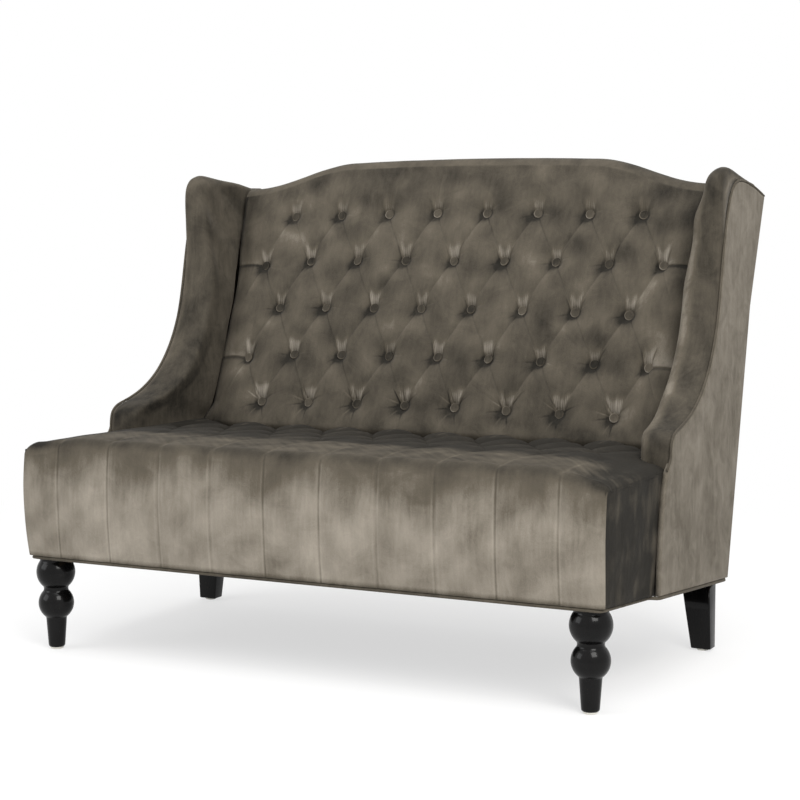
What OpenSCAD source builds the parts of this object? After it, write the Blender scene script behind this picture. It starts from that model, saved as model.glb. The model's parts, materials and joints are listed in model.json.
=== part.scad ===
/* [Overall] */
// Width over the two outside panels
body_w = 1300; // [1200:10:1500]
// Height of the crown at the middle of the back
crown_h = 1024; // [1000:2:1070]
// Height of the wing tops
wing_h = 996; // [980:2:1030]
// Height of the seat at its edges
seat_h = 430; // [410:2:450]
// Depth from the base's front edge to the tufting plane at seat height
seat_d = 569; // [545:1:595]
// Depth of the base from its front edge to its back edge
base_d = 665; // [650:1:680]
// Lean of the inside back from upright, in degrees
rake = 21.5; // [18:0.5:23]
// Lean of the lower outside back from upright, in degrees
rear_lean = 12.9; // [11:0.1:14]

/* [Legs] */
// Height of the base over the floor at the front
front_clear = 195; // [185:1:205]
// Height of the base over the floor at the back
rear_clear = 147; // [140:1:155]
// Height of a glide under each foot
glide_h = 4; // [2:0.5:6]
// Diameter of the turned leg at its foot
foot_dia = 34; // [30:1:40]
// Height where the turned leg's taper ends
taper_z = 67; // [60:1:70]
// Diameter at the top of the taper
taper_dia = 43.5; // [40:0.5:48]
// Diameter of the lower ball
low_ball_dia = 73; // [68:1:76]
// Diameter of the upper ball
top_ball_dia = 80; // [74:1:84]
// Diameter of the neck between the balls
neck_dia = 51; // [44:1:56]
// Diameter of the collar under the base
collar_dia = 64; // [58:1:68]
// Distance of a front leg's axis from the outside panel's face
leg_inset_x = 54; // [48:1:60]
// Distance of a front leg's axis from the base's front edge
leg_inset_y = 40; // [36:1:46]
// Width of a rear leg at the base
rear_leg_w = 63; // [56:1:66]
// Depth of a rear leg at the base
rear_leg_d = 44; // [38:1:46]
// Width of a rear leg at the floor
rear_foot_w = 42; // [36:1:48]
// Depth of a rear leg at the floor
rear_foot_d = 32; // [28:1:36]

/* [Frame] */
// Thickness of the rails and the wing boards
board_t = 18; // [15:1:20]
// Height of the spring rails' top over the floor
rail_top = 330; // [320:1:340]
// Width of a back post
post_w = 36; // [30:1:38]
// Thickness of the back rails, the stiles and the top rail
back_frame_t = 28; // [22:1:30]
// Width of the stiles and of the stretcher
stile_w = 60; // [45:1:70]
// Side of a corner block
block_side = 80; // [70:1:90]
// Diameter of the leg bolts
bolt_dia = 8; // [6:1:10]
// Diameter of the spring wire
wire_dia = 3.8; // [3:0.1:4.5]
// Width of a zigzag spring
spring_w = 48; // [40:1:56]
// Number of zigzag springs
spring_n = 8; // [6:1:9]

/* [Seat] */
// Swell of the seat's front face past the base's front edge
front_crown = 13; // [8:1:16]
// Swell of the seat's side faces past the base's side edge
side_crown = 8; // [6:1:8]
// Height of the seat's crown over its edges
seat_crown = 16; // [10:1:22]
// Depth of the seat's tufts under the crown
seat_tuft = 26; // [18:1:28]
// How far the seat's crown falls from its first tufts to the crease
seat_fall = 10; // [6:1:14]
// Depth of the pleats in the front face
pleat_depth = 5; // [3:0.5:7]
// Distance of the wings' fronts from the base's front edge
arm_set = 290; // [270:2:310]

/* [Back] */
// Distance between buttons in a row
button_pitch = 122.3; // [118:0.1:126]
// Distance between rows of buttons along the back
row_pitch = 112.5; // [108:0.5:116]
// Distance of the top row from the seat's height along the back
top_row_up = 507; // [500:1:514]
// Drop of a row's ends under its middle
row_bow = 8; // [0:1:12]
// Height of the tufts' crests over the buttons
crest = 24; // [16:1:28]
// Thickness of the back from the tufting plane to the outside
back_t = 107; // [104:1:114]
// Thickness of the foam behind the tufting
back_foam_t = 40; // [34:1:42]
// Fall of the crown from its middle to the wings
crown_fall = 57; // [40:1:64]
// Diameter of a button
button_dia = 22; // [18:1:26]

/* [Wings] */
// Reach of a wing's sweep from its upper edge to the arm's front
wing_reach = 293; // [270:1:310]
// Thickness of a wing at its roll, with the outside panel
wing_t = 66; // [62:1:72]
// Depth of the roll along the wing's edge
roll_d = 42; // [34:1:48]
// Reach of the outside panel's toe past the arm's front
panel_toe = 36; // [24:1:44]
// Thickness of an outside panel
panel_t = 9.7; // [7:0.1:9.7]
// Diameter of the welts
welt_dia = 7; // [5:0.5:7.5]

/* [Hidden] */

// Colours as photographed, and those of what is hidden
velvet = "#7d756a";
dark_velvet = "#5f594f";
black_satin = "#171614";
timber = "#c9a877";
ply = "#b8935f";
steel = "#9a9c9e";
foam = "#e8e0c4";
cloth = "#a8946c";
webbing_brown = "#6d4f32";
cambric = "#1f1f20";
nylon = "#d9d6cc";

// Facets of round things
$fn = 48;
// Clearance between parts that only lie against each other
gap = 0.3;
// Overrun of cuts
over = 5;
// Size of the blocks that cut half a space away
far = 4000;

// Overall places
half_w = body_w / 2;
ridge_n = 30;
back_lip = 14;
crown_s = (crown_h - seat_h + ridge_n * sin(rake)) / cos(rake);
back_top_s = crown_s - back_lip;
// Up the back: the wings' rear corners, the top of their inner faces' back line and the posts' tops
corner_below = 50;
top_fall = 70;
post_above = 18;
wing_corner_s = crown_s - corner_below;
wing_line_top = wing_corner_s - top_fall;
post_top_s = wing_line_top + post_above;
body_d = front_crown + seat_d + back_top_s * sin(rake) + back_t * cos(rake);
edge_y = -body_d / 2 + front_crown;
base_back_y = edge_y + base_d;
back_y = edge_y + seat_d;
slope = atan((front_clear - rear_clear) / base_d);

// Height of the sloping underside of the base at y
function base_z(y) = front_clear - (y - edge_y) * tan(slope);
// The tufting plane's y at height z, and a point at s up the plane and n behind it
function plane_y(z, n = 0) = back_y + (z - seat_h) * tan(rake) + n / cos(rake);
function back_point(s, n) =
    [back_y + s * sin(rake) + n * cos(rake), seat_h + s * cos(rake) - n * sin(rake)];
// The lower outside back's y at height z, set in by a thickness
function rear_y(z, inset = 0) =
    base_back_y + (z - rear_clear) * tan(rear_lean) - inset / cos(rear_lean);
// Height where the lower outside back meets the upper one
function knee_z(inset) =
    (base_back_y - rear_clear * tan(rear_lean) - inset / cos(rear_lean)
        - back_y + seat_h * tan(rake) - (back_t - inset) / cos(rake))
    / (tan(rake) - tan(rear_lean));

// Turned legs
leg_x = half_w - leg_inset_x;
leg_y = edge_y + leg_inset_y;
low_ball_z = taper_z + sqrt(pow(low_ball_dia, 2) - pow(taper_dia, 2)) / 2;
neck_z = low_ball_z + sqrt(pow(low_ball_dia, 2) - pow(neck_dia, 2)) / 2;
neck_h = 8;
top_ball_z = neck_z + neck_h + sqrt(pow(top_ball_dia, 2) - pow(neck_dia, 2)) / 2;
edge_round = 3;

// Rear legs, measured from the outer front corner
rear_inset = 23;
rear_step = 8;
rear_leg_x = half_w - rear_inset;
rear_leg_y = base_back_y - rear_leg_d - rear_step;

// Frame
cover_t = 14;
rail_front_y = edge_y + cover_t;
frame_in = 28;
rail_out_x = half_w - frame_in;
board_x = rail_out_x;
post_foot_d = 44;
post_in_x = rail_out_x - post_w;
clip_t = 2;
stretcher_h = 60;
stretcher_drop = 40;
stretcher_top = rail_top - stretcher_drop;

// Back build-up, measured behind the tufting plane
pad_back_n = 21;
web_t = 2;
frame_n = pad_back_n + back_foam_t + web_t + 3 * gap;
outside_t = 9;
outside_n = back_t - outside_t;
back_in = 75;
back_half_w = half_w - back_in;
crown_arch = 5;
crown_flat_share = 0.504;
crown_end_share = 0.974;
cap_t = 12;
pad_bottom_s = -22;
tack_s = 0;
tack_h = 70;
top_rail_h = 110;
stile_x = 190;

// Drop of the crown at x, along the back
function crown_blend(x) =
    let (start = crown_flat_share * back_half_w, end = crown_end_share * back_half_w)
    min(1, max(0, (abs(x) - start) / (end - start)));
function crown_drop(x) =
    (crown_fall * (1 - cos(180 * crown_blend(x))) / 2
        + crown_arch * min(1, pow(x / (crown_flat_share * back_half_w), 2))) / cos(rake);

// Diamond tufting
rows_n = 5;
cols_n = 8;
row_end_x = cols_n / 2 * button_pitch;
pleat_share = 0.35;
// Height of the tufting at x and v rows under the first row, from 0 at a button to 1 at a crest
function tuft(x, v) =
    let (a = abs(sin(180 * (x / button_pitch + 0.5 + v / 2))),
         b = abs(sin(180 * (x / button_pitch + 0.5 - v / 2))))
    (1 - pleat_share) * sqrt(a * b) + pleat_share * (a + b) / 2;
function limit(value, low, high) = min(high, max(low, value));
function mix(a, b, share) = a + (b - a) * share;
function bow(x) = row_bow * pow(x / row_end_x, 2);

// Wings
wing_in_x = half_w - wing_t;
arm_y = edge_y + arm_set;
wing_rise = wing_h - seat_h;
seam_in = 13;
board_in = 22;
wing_grow = 3;
wing_foot_up = 12;
wing_foot_z = rail_top + wing_foot_up;
// The wing's edge from the seat over the arm and up to its top, in reaches and rises
edge_shares = [
    [0, 0], [0.01, 0.045], [0.05, 0.075], [0.13, 0.097], [0.28, 0.114], [0.44, 0.142],
    [0.595, 0.185], [0.73, 0.243], [0.85, 0.32], [0.945, 0.41], [1.01, 0.505],
    [1.045, 0.6], [1.06, 0.7], [1.055, 0.82], [1.05, 0.89], [1.06, 0.943], [1.1, 0.977],
    [1.17, 0.995], [1.27, 1]
];
// Where the wing's inner face ends at the back, in shares of that line's height
back_line_shares = [
    0.02, 0.04, 0.07, 0.1, 0.15, 0.21, 0.28, 0.35, 0.42, 0.49, 0.55,
    0.61, 0.67, 0.73, 0.78, 0.82, 0.86, 0.89, 0.915, 0.94, 0.96
];
wing_back_n = 59;
back_line_low = -90;
top_steps_shares = [0.4, 0.85];
wing_peak = [arm_y + edge_shares[len(edge_shares) - 1][0] * wing_reach, wing_h];
wing_heel = back_point(wing_corner_s, wing_back_n);
wing_edge = concat(
    [[arm_y, wing_foot_z]],
    [for (p = edge_shares) [arm_y + p[0] * wing_reach, seat_h + p[1] * wing_rise]],
    [for (k = top_steps_shares) mix_point(wing_peak, wing_heel, k)]
);
wing_back = concat(
    [[plane_y(wing_foot_z, wing_back_n), wing_foot_z]],
    [for (k = back_line_shares) back_point(mix(back_line_low, wing_line_top, k), wing_back_n)]
);
function mix_point(p, q, share) = p + (q - p) * share;
function toward(p, q, d) = p + (q - p) * d / norm(q - p);
function inset_edge(d) = [for (i = [0 : len(wing_edge) - 1]) toward(wing_edge[i], wing_back[i], d)];

// Building blocks

// Extrudes an outline in y and z from one x to another
module side_profile(from_x, to_x, points) {
    translate([min(from_x, to_x), 0, 0]) rotate([90, 0, 90])
        linear_extrude(abs(to_x - from_x)) polygon(points);
}

// Places what lies along the back: x, then up the plane, then forward
module on_back() {
    translate([0, back_y, seat_h]) rotate([90 - rake, 0, 0]) children();
}

// Cuts away what reaches under the sloping base
module above_base(lift = 0) {
    difference() {
        children();
        translate([0, edge_y, front_clear + lift]) rotate([-slope, 0, 0])
            translate([-far / 2, -far / 2, -far]) cube(far);
    }
}

module both_sides() {
    children();
    mirror([1, 0, 0]) children();
}

// A tube with eight sides along a path, closed at both ends; the path stays square to a direction
module tube(path, d, square_to) {
    sides = 8;
    count = len(path);
    ring = function (i)
        let (before = unit(path[max(i, 1)] - path[max(i, 1) - 1]),
             after = unit(path[min(i, count - 2) + 1] - path[min(i, count - 2)]),
             dir = unit(before + after),
             across = unit(cross(square_to, dir)) / max(0.5, dir * after))
        [for (k = [0 : sides - 1])
            path[i] + d / 2 * (cos(360 * (k + 0.5) / sides) * square_to
                + sin(360 * (k + 0.5) / sides) * across)];
    loft([for (i = [0 : count - 1]) ring(i)]);
}

function unit(v) = v / norm(v);

// A closed solid through equal rings of points; a fanned end has a point in its middle
module loft(rings, fanned = false) {
    n = len(rings[0]);
    last = len(rings) - 1;
    first_mid = (last + 1) * n;
    polyhedron(
        points = concat([for (r = rings) each r], fanned ? [mean(rings[0]), mean(rings[last])] : []),
        faces = concat(
            [for (i = [0 : last - 1], k = [0 : n - 1])
                [i * n + k, (i + 1) * n + k, (i + 1) * n + (k + 1) % n]],
            [for (i = [0 : last - 1], k = [0 : n - 1])
                [i * n + k, (i + 1) * n + (k + 1) % n, i * n + (k + 1) % n]],
            fanned
                ? [for (k = [0 : n - 1]) [first_mid, k, (k + 1) % n]]
                : [[for (k = [0 : n - 1]) k]],
            fanned
                ? [for (k = [0 : n - 1]) [first_mid + 1, last * n + (k + 1) % n, last * n + k]]
                : [[for (k = [0 : n - 1]) last * n + n - 1 - k]]
        )
    );
}

function mean(points) = [for (axis = [0 : 2]) sum([for (p = points) p[axis]]) / len(points)];
function sum(values, i = 0) = i < len(values) ? values[i] + sum(values, i + 1) : 0;

// Legs

module turned_leg() {
    difference() {
        rotate_extrude() union() {
            polygon([[0, glide_h], [foot_dia / 2 - edge_round, glide_h],
                [foot_dia / 2, glide_h + edge_round],
                [taper_dia / 2, taper_z], [taper_dia / 2, low_ball_z], [0, low_ball_z]]);
            ball_half(low_ball_dia, low_ball_z);
            translate([0, low_ball_z]) square([neck_dia / 2, top_ball_z - low_ball_z]);
            ball_half(top_ball_dia, top_ball_z);
            translate([0, top_ball_z]) square([collar_dia / 2, front_clear - top_ball_z]);
        }
        translate([0, 0, leg_cut_z()]) rotate([-slope, 0, 0])
            translate([-collar_dia, -collar_dia, 0]) cube(2 * collar_dia);
        translate([0, 0, top_ball_z]) cylinder(d = bolt_dia, h = front_clear);
    }
}

function leg_cut_z() = base_z(leg_y);

module ball_half(d, z) {
    intersection() {
        translate([0, z]) circle(d = d);
        translate([0, z - d]) square([d, 2 * d]);
    }
}

module front_left_leg() {
    color(black_satin) translate([-leg_x, leg_y, 0]) turned_leg();
}

module front_right_leg() {
    color(black_satin) translate([leg_x, leg_y, 0]) turned_leg();
}

// A rear leg tapers on its inner and front faces
module rear_leg() {
    rear_top = rear_clear + 2 * over;
    foot_y = rear_leg_d - rear_foot_d;
    difference() {
        polyhedron(
            points = [
                [0, foot_y, glide_h], [-rear_foot_w, foot_y, glide_h],
                [-rear_foot_w, rear_leg_d, glide_h], [0, rear_leg_d, glide_h],
                [0, 0, rear_top], [-rear_leg_w, 0, rear_top],
                [-rear_leg_w, rear_leg_d, rear_top], [0, rear_leg_d, rear_top]
            ],
            faces = [[0, 3, 2, 1], [4, 5, 6, 7], [0, 1, 5, 4], [1, 2, 6, 5], [2, 3, 7, 6], [3, 0, 4, 7]]
        );
        translate([0, 0, base_z(rear_leg_y)]) rotate([-slope, 0, 0])
            translate([-2 * rear_leg_w, -rear_leg_d, 0]) cube(4 * rear_leg_w);
        translate([-rear_leg_x, -rear_leg_y, 0]) rear_bolt_bore(bolt_up);
    }
}

module rear_right_leg() {
    color(black_satin) translate([rear_leg_x, rear_leg_y, 0]) rear_leg();
}

module rear_left_leg() {
    color(black_satin) mirror([1, 0, 0]) translate([rear_leg_x, rear_leg_y, 0]) rear_leg();
}

module foot_glides() {
    color(nylon) both_sides() {
        translate([leg_x, leg_y, 0]) glide(foot_dia - 2 * edge_round);
        translate([rear_leg_x - rear_foot_w / 2, rear_leg_y + rear_leg_d - rear_foot_d / 2, 0])
            glide(rear_foot_d - 2 * edge_round);
    }
}

// A nylon glide with a rounded rim
module glide(d) {
    rotate_extrude() polygon([
        [0, 0], [d / 2 - glide_h / 2, 0], [d / 2, glide_h / 2], [d / 2, glide_h], [0, glide_h]
    ]);
}

// Bolts that hold the legs: up each turned leg into its block, up each rear leg into its post
bolt_up = 60;
bolt_down = 40;
rear_bolt = [rail_out_x - post_w / 2, rear_leg_y + rear_leg_d / 2, base_z(rear_leg_y + rear_leg_d / 2)];

module leg_bolts() {
    color(steel) both_sides() {
        translate([leg_x, leg_y, top_ball_z + gap]) {
            cylinder(d = bolt_dia - 2 * gap, h = leg_cut_z() - top_ball_z + bolt_up);
            translate([0, 0, leg_cut_z() - top_ball_z + block_h + gap])
                cylinder(d = 2 * bolt_dia, h = bolt_dia, $fn = 6);
        }
        translate(rear_bolt) translate([0, 0, gap - bolt_down])
            cylinder(d = bolt_dia - 2 * gap, h = bolt_down + bolt_up - 2 * gap);
    }
}

module rear_bolt_bore(up) {
    translate(rear_bolt) translate([0, 0, -bolt_down]) cylinder(d = bolt_dia, h = bolt_down + up);
}

// Frame

block_h = 45;

module corner_blocks() {
    color(timber) both_sides() {
        above_base() difference() {
            translate([rail_out_x - board_t - gap - block_side, rail_front_y + board_t + gap, 0])
                corner_outline(base_z(leg_y) + block_h - gap);
            translate([leg_x, leg_y, 0]) cylinder(d = bolt_dia, h = far);
        }
        above_base() translate([post_in_x - gap - block_side, back_rail_y() - gap, 0])
            mirror([0, 1, 0]) corner_outline(rear_clear + block_h);
    }
}

// A corner block's outline, with its far corner cut off
module corner_outline(h) {
    linear_extrude(h) polygon([
        [block_side / 3, 0], [block_side, 0], [block_side, block_side], [0, block_side / 3]
    ]);
}

function back_rail_y() = rear_y(rear_clear, outside_t + gap) - board_t - 4 * gap;

module front_rail() {
    color(ply) above_base() translate([-rail_out_x, rail_front_y, 0])
        cube([2 * rail_out_x, board_t, rail_top]);
}

module back_rail() {
    color(ply) above_base() translate([-post_in_x, back_rail_y(), 0])
        cube([2 * post_in_x, board_t, rail_top]);
}

module side_rail() {
    difference() {
        above_base() translate([rail_out_x - board_t, rail_front_y + board_t, 0])
            cube([board_t, post_foot_y() - rail_front_y - board_t, rail_top]);
        screws(gap);
    }
}

function post_foot_y() = rear_y(rear_clear, outside_t + gap) - post_foot_d;

module left_side_rail() {
    color(ply) mirror([1, 0, 0]) side_rail();
}

module right_side_rail() {
    color(ply) side_rail();
}

module centre_stretcher() {
    color(timber) translate([-stile_w / 2, rail_front_y + board_t, stretcher_top - stretcher_h])
        cube([stile_w, back_rail_y() - rail_front_y - board_t, stretcher_h]);
}

// A back post: upright at the foot in front, bent at the knee behind
module back_post() {
    inset = outside_t + gap;
    top = back_point(post_top_s, frame_n);
    top_rear = back_point(post_top_s, back_t - inset);
    bend_z = seat_h + (post_foot_y() - back_y - frame_n / cos(rake)) / tan(rake);
    difference() {
        above_base() side_profile(post_in_x, rail_out_x, [
            [post_foot_y(), 0], [post_foot_y(), bend_z], top, top_rear,
            [rear_y(knee_z(inset), inset), knee_z(inset)], [rear_y(0, inset), 0]
        ]);
        rear_bolt_bore(bolt_up);
        screws(gap);
    }
}

module left_back_post() {
    color(ply) mirror([1, 0, 0]) back_post();
}

module right_back_post() {
    color(ply) back_post();
}

// The side board of a wing, from the base to the wing's top
module wing_board() {
    inset = outside_t + gap;
    difference() {
        above_base() side_profile(board_x, board_x + board_t, concat(
            [[arm_y + gap, 0], [arm_y + gap, wing_foot_z - gap], [arm_y + board_in, wing_foot_z - gap]],
            inset_edge(board_in),
            [
                back_point(post_top_s, wing_back_n), back_point(post_top_s, back_t - inset),
                [rear_y(knee_z(inset), inset), knee_z(inset)], [rear_y(0, inset), 0]
            ]
        ));
        screws(gap);
    }
}

module left_wing_board() {
    color(ply) mirror([1, 0, 0]) wing_board();
}

module right_wing_board() {
    color(ply) wing_board();
}

// The crowned top rail lies on the plane of the back frame
module top_rail() {
    half = post_in_x;
    steps = 24;
    color(timber) on_back() translate([0, 0, -frame_n - back_frame_t]) linear_extrude(back_frame_t)
        polygon(concat(
            [[-half, crown_s - top_rail_h - crown_fall], [half, crown_s - top_rail_h - crown_fall],
                [half, post_top_s], [back_half_w - gap, post_top_s]],
            [for (i = [0 : steps]) let (x = (back_half_w - gap) * (1 - 2 * i / steps)) [x, rail_s(x)]],
            [[-back_half_w + gap, post_top_s], [-half, post_top_s]]
        ));
}

function rail_s(x) = crown_s - crown_drop(x) - cap_t - gap;

module tack_rail() {
    color(timber) on_back() translate([-post_in_x, tack_s, -frame_n - back_frame_t])
        cube([2 * post_in_x, tack_h, back_frame_t]);
}

module back_stiles() {
    color(timber) both_sides() on_back() translate([stile_x, tack_s + tack_h, -frame_n - back_frame_t])
        cube([stile_w, crown_s - top_rail_h - crown_fall - tack_s - tack_h, back_frame_t]);
}

// Screws through the wing boards into the posts and the side rails
screw_dia = 5;
screw_l = 30;
screw_head = 10;
screw_shares = [0.2, 0.8];

module frame_screws() {
    color(steel) both_sides() screws();
}

// The screws of the right side, or their bores
module screws(grow = 0) {
    low_z = mix(front_clear, rail_top, 0.6);
    for (share = screw_shares) {
        foot = back_point(share * post_top_s, (frame_n + outside_n) / 2);
        screw([board_x + board_t - screw_dia, foot[0], foot[1]], grow);
        screw([board_x + board_t - screw_dia, mix(arm_y, post_foot_y(), share), low_z], grow);
    }
}

module screw(head, grow) {
    reach = grow > 0 ? over : 0;
    translate(head) rotate([0, 90, 0]) {
        cylinder(d1 = screw_dia + 2 * grow, d2 = screw_head + 2 * grow, h = screw_dia - gap + grow);
        translate([0, 0, screw_dia - gap]) cylinder(d = screw_head + 2 * grow, h = reach + gap / 3);
        translate([0, 0, -screw_l - grow]) cylinder(d = screw_dia + 2 * grow, h = screw_l + 2 * grow);
    }
}

// Seat suspension

spring_front_y = rail_front_y + board_t / 2;
spring_back_y = back_rail_y() + board_t / 2;
spring_bends = 14;
// Overlap of a spring's straight runs with its bends
weld = 1;

function spring_x(i) = (i - (spring_n - 1) / 2) * 2 * (rail_out_x - spring_w) / spring_n;

// A zigzag spring: half rings joined by straight runs
module zigzag() {
    pitch = (spring_back_y - spring_front_y) / (spring_bends + 1);
    bend_r = pitch / 2;
    run = spring_w - 2 * bend_r;
    linear_extrude(wire_dia) {
        for (i = [0 : spring_bends]) translate([-run / 2 - weld, i * pitch + bend_r - wire_dia / 2])
            square([run + 2 * weld, wire_dia]);
        for (i = [0 : spring_bends - 1]) {
            side = i % 2 == 0 ? 1 : -1;
            translate([side * run / 2, (i + 1) * pitch]) intersection() {
                difference() {
                    circle(r = bend_r + wire_dia / 2);
                    circle(r = bend_r - wire_dia / 2);
                }
                translate([side > 0 ? 0 : -2 * pitch, -pitch]) square([2 * pitch, 2 * pitch]);
            }
        }
    }
}

module seat_springs() {
    color(steel) for (i = [0 : spring_n - 1])
        translate([spring_x(i), spring_front_y - (spring_back_y - spring_front_y) / (spring_bends + 1) / 2,
            rail_top + clip_t]) zigzag_between();
}

module zigzag_between() {
    translate([0, (spring_back_y - spring_front_y) / (spring_bends + 1) / 2, 0]) zigzag();
}

// Clips: a plate on the rail under each end of a spring
module spring_clips() {
    clip_w = spring_w / 2;
    color(steel) for (i = [0 : spring_n - 1], y = [rail_front_y, back_rail_y()])
        translate([spring_x(i) - clip_w / 2, y, rail_top]) cube([clip_w, board_t, clip_t]);
}

deck_z = rail_top + clip_t + wire_dia;
deck_t = 2;

module deck_cloth() {
    color(cloth) {
        translate([-rail_out_x + gap, rail_front_y, deck_z])
            cube([2 * (rail_out_x - gap), post_foot_y() - rail_front_y - gap, deck_t]);
        translate([-post_in_x + gap, rail_front_y, deck_z])
            cube([2 * (post_in_x - gap), back_rail_y() + board_t - rail_front_y, deck_t]);
    }
}

foam_z = deck_z + deck_t;
foam_drop = 30;
foam_top = seat_h - foam_drop;

// The seat's foam is wide in front of the wings and narrow between them
module seat_foam() {
    color(foam) difference() {
        translate([-rail_out_x + gap, rail_front_y, foam_z])
            cube([2 * (rail_out_x - gap), post_foot_y() - rail_front_y - gap, foam_top - foam_z]);
        both_sides() wing_room();
    }
}

// What the right wing takes out of the seat
module wing_room() {
    back_end = plane_y(wing_foot_z, wing_back_n);
    linear_extrude(far) polygon([
        [far, arm_y - gap], [wing_in_x - gap, arm_y - gap], [wing_in_x - gap, arm_y + roll_d],
        [back_half_w, back_end], [back_half_w, far], [far, far]
    ]);
}

// Seat cover: pleats down the front, diamonds on top
shoulder = 34;
side_shoulder = 22;
side_edge = 6;
corner_pinch = 4;
front_rows_shares = [0, 0.3, 0.6, 0.82];
edge_arc = [15, 40, 65, 90];
tuft_set = 213;
first_tuft_y = edge_y + tuft_set;
seat_rows_n = 4;
tufted_pitches = 4.6;
seat_end_x = half_w - panel_t - gap - side_crown;
seat_columns = concat(
    [-seat_end_x, -seat_end_x + side_edge, -seat_end_x + side_shoulder],
    [for (i = [-18 : 18]) i * button_pitch / 4],
    [seat_end_x - side_shoulder, seat_end_x - side_edge, seat_end_x]
);

// How far a column's top has dropped over the rounded side edge
function side_drop(x) =
    let (past = max(0, abs(x) - seat_end_x + side_shoulder))
    side_shoulder * (1 - sqrt(max(0, 1 - pow(past / (side_shoulder * 1.04), 2))));
// Side faces swell between the base and the shoulder
function swell(z) = sin(180 * limit((z - front_clear) / (seat_h - front_clear), 0, 1));
function column_x(x, z) = x + (abs(x) >= seat_end_x - side_edge ? sign(x) * side_crown * swell(z) : 0);
// Pleats are open at the seams, which lie half a pitch off the middle
function tufted(x) = abs(x) < tufted_pitches * button_pitch;
function pleat(x) = tufted(x) ? pow(abs(cos(180 * x / button_pitch)), 0.5) - 1 : 0;
function seat_top(x, y) =
    let (v = (y - first_tuft_y) / row_pitch,
         relief = v < 0 ? mix(tuft(x, 0), 1, limit(-v * 0.8, 0, 0.7)) : tuft(x, limit(v, 0, seat_rows_n - 1)))
    seat_h + seat_crown - side_drop(x) - seat_fall * limit(v / (seat_rows_n - 1), 0, 1)
        - (tufted(x) ? seat_tuft * (1 - relief) : 0);

// One column of the seat cover, from the bottom of the front over the top to the back
function seat_ring(x) =
    let (low = base_z(edge_y) + welt_dia / 2 + gap,
         top = seat_top(x, edge_y + 2 * shoulder),
         rise = top - shoulder - low,
         corner = limit((abs(x) - seat_end_x + side_edge) / side_edge, 0, 1),
         face_y = function (z) edge_y - front_crown * swell(z) - pleat(x) * pleat_depth
             + corner * corner_pinch,
         start_y = first_tuft_y - row_pitch)
    concat(
        [for (k = front_rows_shares) let (z = low + rise * k) [column_x(x, z), face_y(z), z]],
        [for (a = edge_arc) let (z = top - shoulder * (1 - sin(a)))
            [column_x(x, z), face_y(z) + shoulder * (1 - cos(a)), z]],
        [let (y = edge_y + 2.2 * shoulder) [column_x(x, top), y, seat_top(x, y)]],
        [for (j = [0 : 2 * seat_rows_n]) let (y = start_y + j * row_pitch / 2)
            [column_x(x, seat_top(x, y)), y, seat_top(x, y)]],
        [[x, back_y, foam_top], [x, back_y, base_z(back_y) + welt_dia / 2 + gap]]
    );

module seat_cover() {
    color(velvet) difference() {
        loft([for (x = seat_columns) seat_ring(-x)], fanned = true);
        // Room for the rails and the foam
        translate([-rail_out_x - gap, rail_front_y - gap, -over])
            cube([2 * (rail_out_x + gap), far, foam_top + gap + over]);
        // Room for the wings
        both_sides() wing_room();
        // The back rests behind this plane
        on_back() translate([-far / 2, -far / 2, -far + crest + 2 * gap]) cube(far);
    }
}

// Back upholstery

web_w = 50;
web_n = 5;
web_rows = 4;

module back_webbing() {
    low = tack_s;
    high = crown_s - crown_fall - 2 * over - cap_t;
    color(webbing_brown) on_back() translate([0, 0, -frame_n + gap / 2]) {
        for (i = [0 : web_n - 1])
            translate([(i - (web_n - 1) / 2) * 2 * post_in_x / web_n - web_w / 2, low, 0])
                cube([web_w, high - low, web_t]);
        for (i = [0 : web_rows - 1])
            translate([-post_in_x - post_w / 3, mix(low, high - web_w, (i + 0.5) / web_rows), 0])
                cube([2 * (post_in_x + post_w / 3), web_w, web_t]);
    }
}

module back_foam() {
    steps = 24;
    half = back_half_w - gap;
    color(foam) on_back() translate([0, 0, -pad_back_n - gap - back_foam_t + gap])
        linear_extrude(back_foam_t - gap) polygon(concat(
            [[-half, tack_s], [half, tack_s]],
            [for (i = [0 : steps]) let (x = half * (1 - 2 * i / steps)) [x, rail_s(x)]]
        ));
}

back_columns = concat(
    [-back_half_w],
    [for (i = [-24 : 24]) i * button_pitch / 6],
    [back_half_w]
);
// The cap's roll over the top rail: behind the plane, then under the ridge
cap_shares = [[0.3, 0], [0.08, 0.36], [-0.08, 0.9]];
cap_reach = 34;
above_share = 0.62;
first_fold = 30;
side_bulge = 6;

function back_forward(x, s) =
    let (v = (top_row_up - s - bow(x)) / row_pitch,
         side = limit((abs(x) - row_end_x) / (back_half_w - row_end_x), 0, 1),
         inner = limit(x, -row_end_x, row_end_x),
         deep = tuft(inner, limit(v, 0, rows_n - 1)),
         above = v < 0 ? mix(deep, 1, limit(-v * 0.75, 0, 0.85)) : deep,
         relief = v > rows_n - 1 ? mix(above, 0.8, limit((v - rows_n + 1) * 0.8, 0, 0.8)) : above)
    crest * relief * (1 - pow(side, 2))
        + side_bulge * pow(side, 2) * sin(180 * limit((s - pad_bottom_s) / (crown_s - pad_bottom_s), 0, 0.9));

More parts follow.
